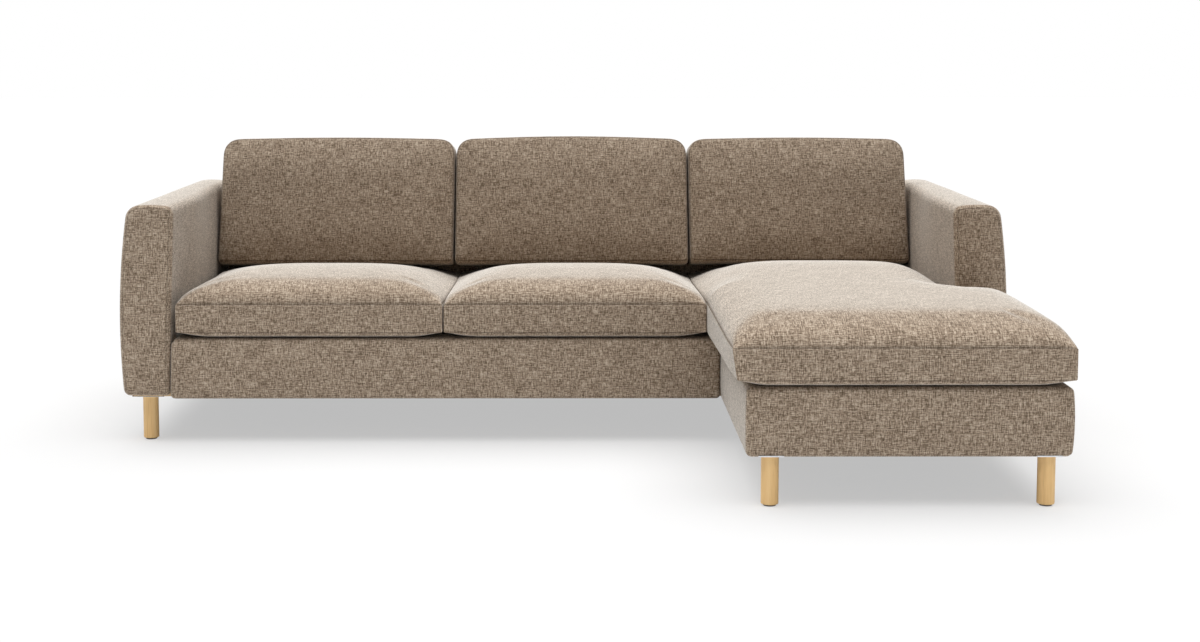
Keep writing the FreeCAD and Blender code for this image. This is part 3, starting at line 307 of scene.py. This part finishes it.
class Nodes:
    """The nodes of a material or of the world."""

    def __init__(self, owner):
        owner.use_nodes = True
        self.tree = owner.node_tree

    def node(self, kind, settings=None, sockets=None, out=0):
        """Any node: its settings, then the values or links of its sockets, and the output wanted."""
        made = self.tree.nodes.new(kind)
        for setting, value in (settings or {}).items():
            if setting == "stops":
                elements = made.color_ramp.elements
                while len(elements) < len(value):
                    elements.new(0.5)
                for element, (place, colour) in zip(elements, value):
                    element.position = place
                    element.color = (*colour, 1)
            else:
                setattr(made, setting, value)
        for socket, value in (sockets or {}).items():
            if isinstance(value, Value):
                self.tree.links.new(value.socket, made.inputs[socket])
            else:
                made.inputs[socket].default_value = value
        return Value(self, made.outputs[out])


class Finish(Nodes):
    """A material made of nodes. Settings that are the same all over go to the shader's sockets."""

    def __init__(self, name, **constants):
        self.material = bpy.data.materials.new(name)
        super().__init__(self.material)
        self.shader = self.tree.nodes["Principled BSDF"]
        for socket, value in constants.items():
            self.shader.inputs[socket.replace("_", " ")].default_value = value

    def places(self, kind="Object", scale=(1, 1, 1)):
        spot = self.node("ShaderNodeTexCoord", out=kind)
        return self.node("ShaderNodeMapping", {}, {"Vector": spot, "Scale": scale})

    def noise(self, places, scale=1.0, detail=2.0, roughness=0.5):
        sockets = {"Vector": places, "Scale": scale, "Detail": detail, "Roughness": roughness}
        return self.node("ShaderNodeTexNoise", {}, sockets)

    def crossing_ribs(self, places, axes):
        """Ribs along two axes of the places, from -1 to 1 where they cross."""
        split = self.node("ShaderNodeSeparateXYZ", {}, {0: places}).socket.node
        first, second = (Value(self, split.outputs[axis]).sine() for axis in axes)
        return first * second

    def colours(self, value, *stops):
        return self.node("ShaderNodeValToRGB", {"stops": stops}, {0: value})

    def tones(self, value, dark, light):
        """From a dark to a light colour over the middle of a value."""
        return self.colours(value, (0.3, dark), (0.7, light))

    def blend(self, factor, first, second):
        return self.node("ShaderNodeMix", {"data_type": "RGBA"}, {0: factor, 6: first, 7: second}, 2)

    def feed(self, **values):
        for socket, value in values.items():
            self.tree.links.new(value.socket, self.shader.inputs[socket.replace("_", " ")])

    def relief(self, height, distance):
        self.feed(Normal=self.node("ShaderNodeBump", {}, {"Height": height, "Distance": distance}))


THREADS = 2400  # the ribs' wave number: 382 threads a metre
YARN_CONTRAST, SLUB_CONTRAST, MOTTLE_CONTRAST = 3.8, 2.7, 0.4
# how dark the shade painted into the seams' folds is
SEAM_SHADE_DARKNESS = 0.45
# how strong the painted sheen is: paler colour where the fabric is seen edge-on
PAINTED_SHEEN = 0.66
YARN_RELIEF = 0.0012


def woven_fabric():
    """Heathered plain weave: thick and thin yarns of mixed beige and brown, with a painted sheen that
    turns the colour pale where the surface is seen edge-on.
    """
    finish = Finish(
        "woven_fabric",
        Roughness=0.95,
        Specular_IOR_Level=0.12,
        Sheen_Weight=0.15,
        Sheen_Roughness=0.5,
        Sheen_Tint=(1.0, 0.97, 0.93, 1),
    )
    weft = finish.noise(finish.places("UV", (105, 560, 1)), detail=2)
    warp = finish.noise(finish.places("UV", (560, 95, 1)), detail=2)
    long_weft = finish.noise(finish.places("UV", (30, 400, 1)), detail=1)
    long_warp = finish.noise(finish.places("UV", (400, 34, 1)), detail=1)
    mottle = finish.noise(finish.places("UV"), 14, detail=3, roughness=0.6)
    ribs = finish.crossing_ribs(finish.places("UV", (THREADS, THREADS, 1)), (LEFT, DEEP))
    over = ribs * 0.5 + 0.5
    yarns = weft * over + warp * (1 - over)
    slubs = long_weft * 0.5 + long_warp * 0.5
    uneven = (yarns - 0.5) * YARN_CONTRAST + (slubs - 0.5) * SLUB_CONTRAST
    shade = uneven + (mottle - 0.5) * MOTTLE_CONTRAST + 0.5
    colour = finish.colours(
        shade,
        (0.0, (0.125, 0.088, 0.058)),
        (0.35, (0.265, 0.197, 0.14)),
        (0.6, (0.375, 0.287, 0.21)),
        (1.0, (0.6, 0.5, 0.39)),
    )
    # Painted shade: the fabric's colour is blended towards near-black in the seams' folds.
    seam_shade = finish.node("ShaderNodeAttribute", {"attribute_name": SEAM_SHADE_ATTRIBUTE}, out="Fac")
    colour = finish.blend(seam_shade * SEAM_SHADE_DARKNESS, colour, (0.03, 0.022, 0.015, 1))
    # Painted sheen: the colour turns towards pale tints that follow the weave where the fabric is seen
    # edge-on, but not in the seams' painted shade.
    grazing = finish.node("ShaderNodeLayerWeight", {}, {"Blend": 0.5}, "Facing").power(5)
    fibres = finish.colours(shade, (0.15, (0.68, 0.655, 0.60)), (0.85, (0.99, 0.98, 0.95)))
    finish.feed(Base_Color=finish.blend(grazing * (1 - seam_shade) * PAINTED_SHEEN, colour, fibres))
    finish.relief(yarns * 0.6 + over * 0.4, YARN_RELIEF)
    return finish.material


def leg_oak():
    """Clear lacquered oak with the grain up the leg."""
    finish = Finish("leg_oak", Specular_IOR_Level=0.35)
    rings = finish.noise(finish.places(scale=(90, 90, 3.2)), detail=3)
    pores = finish.noise(finish.places(scale=(700, 700, 26)), detail=2)
    colour = finish.colours(
        rings * 0.75 + pores * 0.35,
        (0.3, (0.70, 0.435, 0.185)),
        (0.52, (0.90, 0.59, 0.262)),
        (0.8, (0.98, 0.69, 0.345)),
    )
    finish.feed(Base_Color=colour, Roughness=0.36 + pores * 0.2)
    finish.relief(pores, 0.0002)
    return finish.material


def frame_pine():
    """Planed pine for the hidden frames."""
    finish = Finish("frame_pine", Specular_IOR_Level=0.3)
    grain = finish.noise(finish.places(scale=(4, 4, 60)), 3, detail=4)
    fibre = finish.noise(finish.places(scale=(30, 30, 300)), detail=2)
    colour = finish.tones(grain * 0.7 + fibre * 0.3, (0.52, 0.34, 0.17), (0.74, 0.56, 0.34))
    finish.feed(Base_Color=colour, Roughness=0.55 + fibre * 0.2)
    finish.relief(fibre, 0.0003)
    return finish.material


def hardboard():
    """Pressed brown fibre board."""
    finish = Finish("hardboard", Specular_IOR_Level=0.25)
    fibres = finish.noise(finish.places(), 260, detail=4)
    clouds = finish.noise(finish.places(), 9, detail=2)
    colour = finish.tones(fibres * 0.7 + clouds * 0.3, (0.16, 0.085, 0.04), (0.33, 0.2, 0.105))
    finish.feed(Base_Color=colour, Roughness=0.6 + fibres * 0.2)
    finish.relief(fibres, 0.0003)
    return finish.material


def foam():
    """Pale open-cell foam."""
    finish = Finish("foam", Specular_IOR_Level=0.15, Sheen_Weight=0.2)
    cells = finish.noise(finish.places(), 420, detail=3)
    age = finish.noise(finish.places(), 5, detail=2)
    colour = finish.tones(cells * 0.4 + age * 0.6, (0.66, 0.58, 0.38), (0.82, 0.77, 0.6))
    finish.feed(Base_Color=colour, Roughness=0.85 + cells * 0.1)
    finish.relief(cells, 0.0012)
    return finish.material


def felt(name, dark, light, roughness):
    """Pressed non-woven cloth."""
    finish = Finish(name, Specular_IOR_Level=0.1, Sheen_Weight=0.25)
    fibres = finish.noise(finish.places(), 330, detail=4, roughness=0.7)
    clouds = finish.noise(finish.places(), 26, detail=3)
    colour = finish.tones(fibres * 0.6 + clouds * 0.4, dark, light)
    finish.feed(Base_Color=colour, Roughness=fibres * 0.1 + roughness)
    finish.relief(fibres, 0.0006)
    return finish.material


def webbing():
    """Woven seat webbing with a rib across it."""
    finish = Finish("webbing", Specular_IOR_Level=0.15)
    ribs = finish.crossing_ribs(finish.places(scale=(1900, 1, 1900)), (LEFT, UP))
    yarn = finish.noise(finish.places(), 500, detail=2)
    colour = finish.colours(ribs * 0.25 + yarn, (0.2, (0.12, 0.1, 0.08)), (0.8, (0.36, 0.31, 0.25)))
    finish.feed(Base_Color=colour, Roughness=0.7 + yarn * 0.2)
    finish.relief(ribs * 0.3 + yarn * 0.3, 0.0008)
    return finish.material


def metal(name, dark, light, roughness, scratches):
    """Bare or plated steel with fine scratches."""
    finish = Finish(name, Metallic=1.0)
    grain = finish.noise(finish.places(scale=scratches), detail=3)
    finish.feed(Base_Color=finish.tones(grain, dark, light), Roughness=grain * 0.25 + roughness)
    finish.relief(grain, 0.0001)
    return finish.material


def glide_plastic():
    """Grey moulded plastic under the feet."""
    finish = Finish("glide_plastic", Specular_IOR_Level=0.4)
    cast = finish.noise(finish.places(), 340, detail=3)
    colour = finish.tones(cast, (0.1, 0.1, 0.1), (0.16, 0.16, 0.155))
    finish.feed(Base_Color=colour, Roughness=0.35 + cast * 0.2)
    finish.relief(cast, 0.0002)
    return finish.material


FINISHES = {
    "woven_fabric": woven_fabric(),
    "leg_oak": leg_oak(),
    "frame_pine": frame_pine(),
    "hardboard": hardboard(),
    "foam": foam(),
    "deck_felt": felt("deck_felt", (0.32, 0.3, 0.27), (0.5, 0.47, 0.42), 0.85),
    "dust_cloth": felt("dust_cloth", (0.018, 0.018, 0.018), (0.05, 0.05, 0.05), 0.8),
    "webbing": webbing(),
    "spring_steel": metal("spring_steel", (0.32, 0.32, 0.33), (0.5, 0.5, 0.52), 0.25, (300, 300, 300)),
    "zinc_steel": metal("zinc_steel", (0.55, 0.56, 0.58), (0.75, 0.76, 0.78), 0.3, (120, 120, 400)),
    "glide_plastic": glide_plastic(),
}
for part in frame["record"]["subparts"]:
    for place in frame["nodes"][part["node"]].material_slots:
        place.material = FINISHES[part["material_slot"]]


# Seat springs, in lighter copies: their wire needs fewer faces than the frame gives it

SPRING_SHARE = 0.4


def seat_springs(unit):
    springs = frame["nodes"][f"{unit}_seat_springs"].copy()
    springs.data = springs.data.copy()
    bpy.context.collection.objects.link(springs)
    springs.name = f"{unit}_zigzag_springs"
    active(springs)
    change(springs, "WELD")
    change(springs, "DECIMATE", ratio=SPRING_SHARE)
    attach(springs, "frame")
    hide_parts(f"{unit}_seat_springs")


seat_springs("sofa")
seat_springs("chaise")


# Arms. Both are shaped on the viewer's right, and the left one is then mirrored.

ARM_INNER, ARM_OUTER = 1.080, 1.203
ARM_TOP_DROP = 0.005
ARM_SEAM = 0.008
ARM_EASE = 0.014
ARM_EDGE = (0.003, 0.0065, ARM_SEAM, 0.0095, 0.016, 0.022, 0.032)
ARM_TOP_EDGE = ARM_EDGE + (0.043, 0.055)
ARM_REAR_EDGE = (0.005, 0.010, 0.016)
ARM_CROWN = 0.005
ARM_FRONT_SWELL = 0.0035

# The inner side puffs out above the seat behind, and leans in over its height in front.
SEAT_LEVEL = 0.288
INNER_PUFF = 0.006
INNER_LEAN, LEAN_START = 0.0208, 0.04
FRONT_END, FRONT_FADE = 0.50, 0.35

# The outer side is a shallow curve, widest at this height.
WIDEST, WIDEST_HEIGHT, OUTER_CURVE = 1.2135, 0.32, 0.236


def arm(side, sign):
    """A box arm: eased front edges, rounded corners, a crowned top and a puffed outer side."""
    low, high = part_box(f"{side}_arm_cover")
    low[LEFT], high[LEFT] = ARM_INNER, ARM_OUTER
    high[UP] -= ARM_TOP_DROP
    piece = block(f"{side}_arm_upholstery", low, high)
    edges = ((ARM_EDGE, ARM_EDGE), (ARM_EDGE, ARM_REAR_EDGE), (ARM_EDGE, ARM_TOP_EDGE))
    cut_grid(piece, low, high, steps=(0.012, 0.022, 0.018), edges=edges)
    box = points(piece)
    outline = np.minimum.reduce(to_walls(box, low, high, (LEFT, UP)))
    seam = (np.abs(outline - ARM_SEAM) < SAME) & (box[:, DEEP] < low[DEEP] + SAME)
    places = eased(box, low, high, ARM_EASE, flat=(LEFT, UP))
    places = round_corners(places, low, high, foot=(0.010, 0.018), top=(0.022, 0.028))
    out = (places[:, LEFT] - ARM_INNER) / (ARM_OUTER - ARM_INNER)
    rise = ramp(places[:, UP], low[UP], high[UP] - low[UP])
    above_seat = ramp(places[:, UP], SEAT_LEVEL, high[UP] - SEAT_LEVEL)
    ahead = soft_step((FRONT_END - places[:, DEEP]) / FRONT_FADE)
    puff = INNER_PUFF * np.sin(pi * above_seat) * (1 - ahead)
    lean = INNER_LEAN * ramp(rise, LEAN_START, 1) * ahead
    side_in = ARM_INNER - puff - lean
    side_out = WIDEST - OUTER_CURVE * (places[:, UP] - WIDEST_HEIGHT) ** 2
    places[:, LEFT] = side_in + (side_out - side_in) * out
    places[:, UP] += ARM_CROWN * np.sin(pi * np.clip(out, 0, 1)) * rise**4
    at_front = near(box[:, DEEP] - low[DEEP], reach=0.03)
    places[:, DEEP] -= ARM_FRONT_SWELL * swell(outline, run=0.05) * at_front
    places[:, LEFT] *= sign
    if sign < 0:
        piece.data.flip_normals()
    move_points(piece, places)
    sew(piece, seam, depth=0.0028, shade=0.8)
    finish_soft(piece, "frame", [f"{side}_arm_cover"])


arm("left", -1)
arm("right", 1)


# Base borders and backs

BORDER_DROP = 0.0045
BORDER_EASE = 0.013
BORDER_EDGE = (0.003, 0.006, 0.010, 0.014)
PAST_REAR = (0, 0.1, 0)  # a border's rear end stays square: the box that is eased goes on behind it

# The left end of the two-seat border leans along with the arm beside it.
ARM_CLEARANCE, ARM_FOLLOW, FOLLOW_HEIGHT = 0.0015, 0.031, 0.15


def belly(box, low, high):
    """0 at the foot and the top of a box, 1 half way up."""
    return np.sin(pi * ramp(box[:, UP], low[UP], high[UP] - low[UP]))


def sofa_base():
    """The padded border across the front of the two-seat base."""
    low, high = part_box("sofa_base_cover")
    low[UP] -= BORDER_DROP
    piece = block("sofa_base_border", low, high)
    edge = BORDER_EDGE + (0.02,)
    edges = ((edge, edge), (edge, ()), (edge, edge))
    cut_grid(piece, low, high, steps=(0.03, 0.02, 0.02), edges=edges)
    box = points(piece)
    places = eased(box, low, np.array(high) + PAST_REAR, BORDER_EASE)
    places = round_corners(places, low, high, top=(0.022, 0))
    beside_arm = near(box[:, LEFT] - low[LEFT], reach=0.03)
    follow = ARM_FOLLOW * np.clip(box[:, UP] - FOLLOW_HEIGHT, 0, None)
    places[:, LEFT] += (ARM_CLEARANCE + follow) * beside_arm
    front = near(box[:, DEEP] - low[DEEP], reach=0.02)
    places[:, DEEP] -= 0.003 * belly(box, low, high) * front
    move_points(piece, places)
    finish_soft(piece, "frame", ["sofa_base_cover"])


def chaise_base():
    """The padded border round the front and both sides of the chaise base."""
    low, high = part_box("chaise_base_cover")
    low[UP] -= BORDER_DROP
    deck_low, deck_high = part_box("chaise_seat_deck")
    well_right = deck_high[LEFT]
    well_left = low[LEFT] + high[LEFT] - well_right
    piece = block("chaise_base_border", low, (high[LEFT], deck_low[DEEP], high[UP]))
    cut(piece, LEFT, (well_left, well_right))

    def ends(centre, normal):
        return normal.y > 0.5 and not well_left < centre.x < well_right

    draw_out(piece, ends, (0, high[DEEP] - deck_low[DEEP], 0))
    edges = ((BORDER_EDGE, BORDER_EDGE), (BORDER_EDGE, ()), (BORDER_EDGE, BORDER_EDGE))
    cut_grid(piece, low, high, steps=(0.03, 0.03, 0.02), edges=edges)
    box = points(piece)
    places = eased(box, low, np.array(high) + PAST_REAR, BORDER_EASE)
    rise = belly(box, low, high) ** 0.6
    for axis, wall, outward, puff in (
        (DEEP, low[DEEP], -1, 0.0025),
        (LEFT, low[LEFT], -1, 0.0025),
        (LEFT, high[LEFT], 1, 0.006),
    ):
        skin = near(np.abs(box[:, axis] - wall), reach=0.017)
        places[:, axis] += outward * puff * rise * skin
    move_points(piece, places)
    finish_soft(piece, "frame", ["chaise_base_cover"])


BACK_SEAM = 0.009
BACK_EASE = 0.012
BACK_EDGE = (0.003, 0.006, BACK_SEAM, 0.012, 0.017, 0.025)
BACK_SWELL = 0.003


def back_panel(unit):
    """The upholstery round a unit's back frame, with a seam round its rear panel."""
    low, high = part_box(f"{unit}_back_cover")
    piece = block(f"{unit}_back_upholstery", low, high)
    edges = [(BACK_EDGE, BACK_EDGE)] * 3
    cut_grid(piece, low, high, steps=(0.03, 0.016, 0.025), edges=edges)
    box = points(piece)
    places = eased(box, low, high, BACK_EASE)
    outline = np.minimum.reduce(to_walls(box, low, high, (LEFT, UP)))
    behind = box[:, DEEP] > high[DEEP] - SAME
    places[:, DEEP] += np.where(behind, BACK_SWELL * swell(outline, run=0.12), 0)
    seam = behind & (np.abs(outline - BACK_SEAM) < SAME)
    move_points(piece, places)
    sew(piece, seam, depth=0.0030)
    finish_soft(piece, "frame", [f"{unit}_back_cover"])


sofa_base()
chaise_base()
back_panel("sofa")
back_panel("chaise")


# Cushions. Each starts as its sewn band; the top and bottom panels swell from the seams.

CUSHION_SEAM = 0.0022
CUSHION_STEP = 0.016
SEAM_EDGE = (0.0015, 0.005, 0.011, 0.020)
SEAM_EDGES = (SEAM_EDGE, SEAM_EDGE)

# A panel rises steeply at its seam and slowly over a longer run.
STEEP, SLOW, SLOW_RUN = 0.82, 0.18, 0.28


def panel_swell(walls, runs):
    """Rise of a panel, from the distances to the walls around it and the run from each."""
    rise = 1.0
    for wall, run in zip(walls, runs):
        rise = rise * (STEEP * swell(wall, run) + SLOW * swell(wall, SLOW_RUN))
    return rise


def finish_cushion(piece, name):
    finish_soft(piece, name, [f"{name}_cover", f"{name}_core"])


# Seat cushions: the heights of both seams, and the rows between them

LOWER_SEAM, UPPER_SEAM = 0.306, 0.382
BAND_STEP = 0.012
BAND_EDGE = SEAM_EDGE[:2]

# Places from the front to the rear: where a cushion gets softer, where its crown falls,
# where the back cushion presses on it, and where the foot of its left side is drawn in
SOFT_START, SOFT_LENGTH = -0.12, 0.6
FALL_START, FALL_LENGTH, FALL = 0.12, 0.54, 0.95
HELD_START, PRESS_START = 0.5, 0.53
PRESS_LINE, PRESS_DEPTH, PRESS_SLOPE = 0.535, 0.029, 0.162
DRAWN_START, DRAWN_LENGTH, DRAWN_IN = -0.8, 0.6, 0.012

# Runs along the sides: at the front, and what the softer rear adds
SIDE_RUN, SOFT_RUN = 0.07, 0.26
SIDE_BULGE, BULGE_RUN = 0.003, 0.14
SLACK_REACH = 0.06


def seat_shape(piece, walls, crown, bottom, front_run, slack):
    """Swells the panels of a seat cushion. Walls are the distances to its left, right, front and
    rear wall, and to its notch if it has one. The top falls to the rear, where the back cushion
    presses on it, and the bottom panel's corners are drawn up. Slack is how far the left and
    right sides sink at the rear."""
    left, right, front, *behind = walls
    box = points(piece)
    deep = box[:, DEEP]
    on_top = box[:, UP] > UPPER_SEAM - SAME
    below = box[:, UP] < LOWER_SEAM + SAME
    softer = ramp(deep, SOFT_START, SOFT_LENGTH)
    fall = 1 - FALL * ramp(deep, FALL_START, FALL_LENGTH) ** 2
    side_run = SIDE_RUN + SOFT_RUN * softer
    rise = panel_swell(walls, [side_run, side_run] + [front_run] * 3) * fall
    sag = swell(front, run=0.05)
    for wall in (left, right, *behind):
        sag = sag * np.sin(pi / 2 * ramp(wall, start=0, length=0.09))

    places = box.copy()
    places[:, UP] += np.where(on_top, (crown - UPPER_SEAM) * rise, 0)
    pressed = np.minimum(places[:, UP], crown - PRESS_DEPTH - PRESS_SLOPE * (deep - PRESS_LINE))
    places[:, UP] = np.where(on_top & (deep > PRESS_START), pressed, places[:, UP])
    places[:, UP] -= np.where(below, (LOWER_SEAM - bottom) * sag, 0)

    height = ramp(box[:, UP], LOWER_SEAM, UPPER_SEAM - LOWER_SEAM)
    to_rear = np.sin(pi / 2 * ramp(behind[0], start=0, length=0.1))
    bulge = SIDE_BULGE * soft_step(front / BULGE_RUN) * to_rear
    for wall, outward, sink in zip((left, right), (-1, 1), slack):
        places[:, LEFT] += outward * bulge * near(wall, reach=0.12)
        places[:, UP] -= sink * softer * height * np.exp(-((wall / SLACK_REACH) ** 2))
    drawn = (1 - height) * (1 - ramp(deep, DRAWN_START, DRAWN_LENGTH))
    places[:, LEFT] += DRAWN_IN * drawn * near(left, reach=0.1)

    seam = (on_top | below) & (np.minimum.reduce(walls) < SAME)
    move_points(piece, places)
    fill(piece, seam | (on_top & (deep > HELD_START)) | below, freedom=(0.2, 0.5, 1))
    sew(piece, seam, CUSHION_SEAM, shade=1.2)


def seat_cushion(name, left, right, slack):
    """A boxed seat cushion between two sides, as its sewn band first."""
    low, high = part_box(f"{name}_cover")
    crown, bottom = high[UP], low[UP]
    low[LEFT], high[LEFT] = left, right
    low[UP], high[UP] = LOWER_SEAM, UPPER_SEAM
    piece = block(name, low, high)
    edges = (SEAM_EDGES, SEAM_EDGES, (BAND_EDGE, BAND_EDGE))
    cut_grid(piece, low, high, (CUSHION_STEP, CUSHION_STEP, BAND_STEP), edges)
    walls = to_walls(points(piece), low, high, (LEFT, DEEP))
    seat_shape(piece, walls, crown, bottom, front_run=0.055, slack=slack)
    finish_cushion(piece, name)


# The chaise cushion ends at the step in front of the arm, and beside the arm it goes on to the back.
ARM_SIDE, ARM_STEP = 1.070, -0.119


def chaise_cushion():
    """The long cushion with its L-shaped outline, as its sewn band first."""
    low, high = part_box("chaise_cushion_cover")
    crown, bottom = high[UP], low[UP]
    low[UP], high[UP] = LOWER_SEAM, UPPER_SEAM
    piece = block("chaise_cushion", low, (high[LEFT], ARM_STEP, high[UP]))
    cut(piece, LEFT, (ARM_SIDE,))

    def beside_arm(centre, normal):
        return normal.y > 0.5 and centre.x < ARM_SIDE

    draw_out(piece, beside_arm, (0, high[DEEP] - ARM_STEP, 0))
    for axis, turn in ((LEFT, ARM_SIDE), (DEEP, ARM_STEP)):
        cut(
            piece,
            axis,
            rows(low[axis], turn, CUSHION_STEP, SEAM_EDGE, SEAM_EDGE)
            + rows(turn, high[axis], CUSHION_STEP, (), SEAM_EDGE),
        )
    cut(piece, UP, rows(low[UP], high[UP], BAND_STEP, BAND_EDGE, BAND_EDGE))
    box = points(piece)
    notch = np.hypot(
        np.clip(ARM_SIDE - box[:, LEFT], 0, None),
        np.clip(ARM_STEP - box[:, DEEP], 0, None),
    )
    walls = to_walls(box, low, high, (LEFT, DEEP)) + [notch]
    seat_shape(piece, walls, crown, bottom, front_run=0.10, slack=(0.022, 0))
    finish_cushion(piece, "chaise_cushion")


# Back cushions: how far their band is inside the frame's cushion, in front and behind,
# at the foot and at the top
BACK_MARGIN, FOOT_MARGIN, TOP_MARGIN = 0.006, 0.027, 0.004
BACK_STEP = 0.018
BACK_LEAN = 0.062
BACK_CROWN, CROWN_RUN = 0.022, 0.1
BACK_FOLD, FACE_FOLD_RUN, REAR_FOLD_RUN = 0.003, 0.04, 0.03
FOOT_WIDTH, TOP_NARROWING = 1.002, 0.014
FACE_FOOT_LIFT = 0.009
REAR_FOOT_DROP, REAR_TOP_DROP = 0.027, 0.016
HELD_FOOT = 0.004


def back_cushion(name, bow):
    """Leaning cushion: a crowned face inside its seam and a deep band behind it.
    Its top edge stands up in the middle by the bow."""
    low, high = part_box(f"{name}_cover")
    low[DEEP], high[DEEP] = low[DEEP] + BACK_MARGIN, high[DEEP] - BACK_MARGIN
    low[UP], high[UP] = low[UP] + FOOT_MARGIN, high[UP] - TOP_MARGIN
    piece = block(name, low, high)
    cut_grid(piece, low, high, (CUSHION_STEP, BACK_STEP, CUSHION_STEP), [SEAM_EDGES] * 3)
    box = points(piece)
    walls = to_walls(box, low, high, (LEFT, UP))
    from_face, from_rear = to_walls(box, low, high, (DEEP,))
    rise = ramp(box[:, UP], low[UP], high[UP] - low[UP])
    across = (box[:, LEFT] - low[LEFT]) / (high[LEFT] - low[LEFT])
    back = from_face / (high[DEEP] - low[DEEP])
    face_fold = 1 - swell(from_face, FACE_FOLD_RUN)
    rear_fold = 1 - swell(from_rear, REAR_FOLD_RUN)

    places = round_corners(box, low, high, foot=(0.014, 0.014), top=(0.045, 0.045))
    tuck = BACK_FOLD * face_fold + BACK_FOLD * rear_fold
    for axis in (LEFT, UP):
        middle, half = (low[axis] + high[axis]) / 2, (high[axis] - low[axis]) / 2
        places[:, axis] = middle + (places[:, axis] - middle) * (1 - tuck / half)
    places[:, LEFT] *= FOOT_WIDTH - TOP_NARROWING * rise
    places[:, DEEP] += BACK_LEAN * rise * (1 - back)
    places[:, UP] += FACE_FOOT_LIFT * face_fold * (1 - rise) ** 8
    crown = BACK_CROWN * panel_swell(walls, [CROWN_RUN] * 4)
    places[:, DEEP] -= np.where(from_face < SAME, crown, 0)
    places[:, UP] += bow * np.sin(pi * across) * rise**3
    places[:, UP] -= back * (REAR_FOOT_DROP * (1 - rise) ** 3 + REAR_TOP_DROP * rise**3)

    seam = (np.minimum(from_face, from_rear) < SAME) & (np.minimum.reduce(walls) < SAME)
    move_points(piece, places)
    fill(piece, seam | (box[:, UP] < low[UP] + HELD_FOOT), freedom=(0.15, 1, 0.5))
    sew(piece, seam, CUSHION_SEAM, shade=1.5)
    finish_cushion(piece, name)


seat_cushion("seat_cushion_left", left=-1.058, right=-0.331, slack=(0, 0.018))
seat_cushion("seat_cushion_middle", left=-0.327, right=0.390, slack=(0.018, 0.022))
chaise_cushion()
back_cushion("back_cushion_left", bow=0.006)
back_cushion("back_cushion_middle", bow=0.010)
back_cushion("back_cushion_right", bow=0.006)


# Studio: a white floor that keeps the shadow, and soft light from above and all round

WHITE = (1, 1, 1, 1)
AMBIENT = 0.22
FLOOR_SIZE, FLOOR_DROP = 60, 0.0005
FLOOR_BOUNCE = 0.76
FLOOR_SHADE = 0.34
FLOOR_GLOW = 0.50
LAMP_HEIGHT = 4
LAMP_TURN = (-4, -2, 0)
LAMP_SPREAD = 80
LAMP_STRENGTH = 4.1


def studio_nodes(owner, output):
    """The empty nodes of a material or world, and the socket that its light goes to."""
    nodes = Nodes(owner)
    nodes.tree.nodes.clear()
    return nodes, nodes.tree.nodes.new(output).inputs[0]


def studio_floor():
    """The camera sees the floor brighter than the sofa does, so that it is white round its shadow."""
    deselect()
    bpy.ops.mesh.primitive_plane_add(size=FLOOR_SIZE, location=(0, 0, -FLOOR_DROP))
    floor = bpy.context.object
    floor.name = "studio_floor"
    material = bpy.data.materials.new("studio_floor")
    nodes, surface = studio_nodes(material, "ShaderNodeOutputMaterial")
    seen = nodes.node("ShaderNodeLightPath", out="Is Camera Ray")
    bounce = nodes.node("ShaderNodeBsdfDiffuse", {}, {"Color": (FLOOR_BOUNCE,) * 3 + (1,)})
    shade = nodes.node("ShaderNodeBsdfDiffuse", {}, {"Color": (FLOOR_SHADE,) * 3 + (1,)})
    glow = nodes.node("ShaderNodeEmission", {}, {"Strength": FLOOR_GLOW})
    shown = nodes.node("ShaderNodeAddShader", {}, {0: shade, 1: glow})
    mixed = nodes.node("ShaderNodeMixShader", {}, {0: seen, 1: bounce, 2: shown})
    nodes.tree.links.new(mixed.socket, surface)
    floor.data.materials.append(material)


def studio_world():
    """A faint light from all round; the camera and shiny surfaces see plain white."""
    world = bpy.data.worlds.new("studio")
    bpy.context.scene.world = world
    nodes, surface = studio_nodes(world, "ShaderNodeOutputWorld")
    seen = nodes.node("ShaderNodeLightPath", out="Is Camera Ray")
    mirrored = nodes.node("ShaderNodeLightPath", out="Is Glossy Ray")
    soft = nodes.node("ShaderNodeBackground", {}, {"Color": WHITE, "Strength": AMBIENT})
    white = nodes.node("ShaderNodeBackground", {}, {"Color": WHITE})
    either = seen.math("MAXIMUM", seen, mirrored)
    mixed = nodes.node("ShaderNodeMixShader", {}, {0: either, 1: soft, 2: white})
    nodes.tree.links.new(mixed.socket, surface)


def ceiling_light():
    """A wide, even lamp far above, tipped a little from straight overhead."""
    deselect()
    turn = [radians(angle) for angle in LAMP_TURN]
    bpy.ops.object.light_add(type="SUN", location=(0, 0, LAMP_HEIGHT), rotation=turn)
    lamp = bpy.context.object
    lamp.name = "ceiling_light"
    lamp.data.angle = radians(LAMP_SPREAD)
    lamp.data.energy = LAMP_STRENGTH


# Camera: its place, how far it looks down and to the side, and its lens

CAMERA_PLACE = (0.0075, -4.896, 1.0918)
CAMERA_DOWN, CAMERA_ASIDE = 5.09, -0.172
SENSOR_WIDTH = 36
FOCAL_LENGTH = 53.08
SHIFT_ACROSS, SHIFT_UP = 0.0237, -0.10


def photo_camera():
    """The camera of the photo, with its vertical lines kept upright by the shift."""
    deselect()
    turn = (radians(90 - CAMERA_DOWN), 0, radians(CAMERA_ASIDE))
    bpy.ops.object.camera_add(location=CAMERA_PLACE, rotation=turn)
    camera = bpy.context.object
    camera.data.sensor_width = SENSOR_WIDTH
    camera.data.lens = FOCAL_LENGTH
    camera.data.shift_x = SHIFT_ACROSS
    camera.data.shift_y = SHIFT_UP
    return camera


studio_floor()
studio_world()
ceiling_light()
bpy.context.scene.camera = photo_camera()
bpy.context.scene.view_settings.view_transform = "Standard"
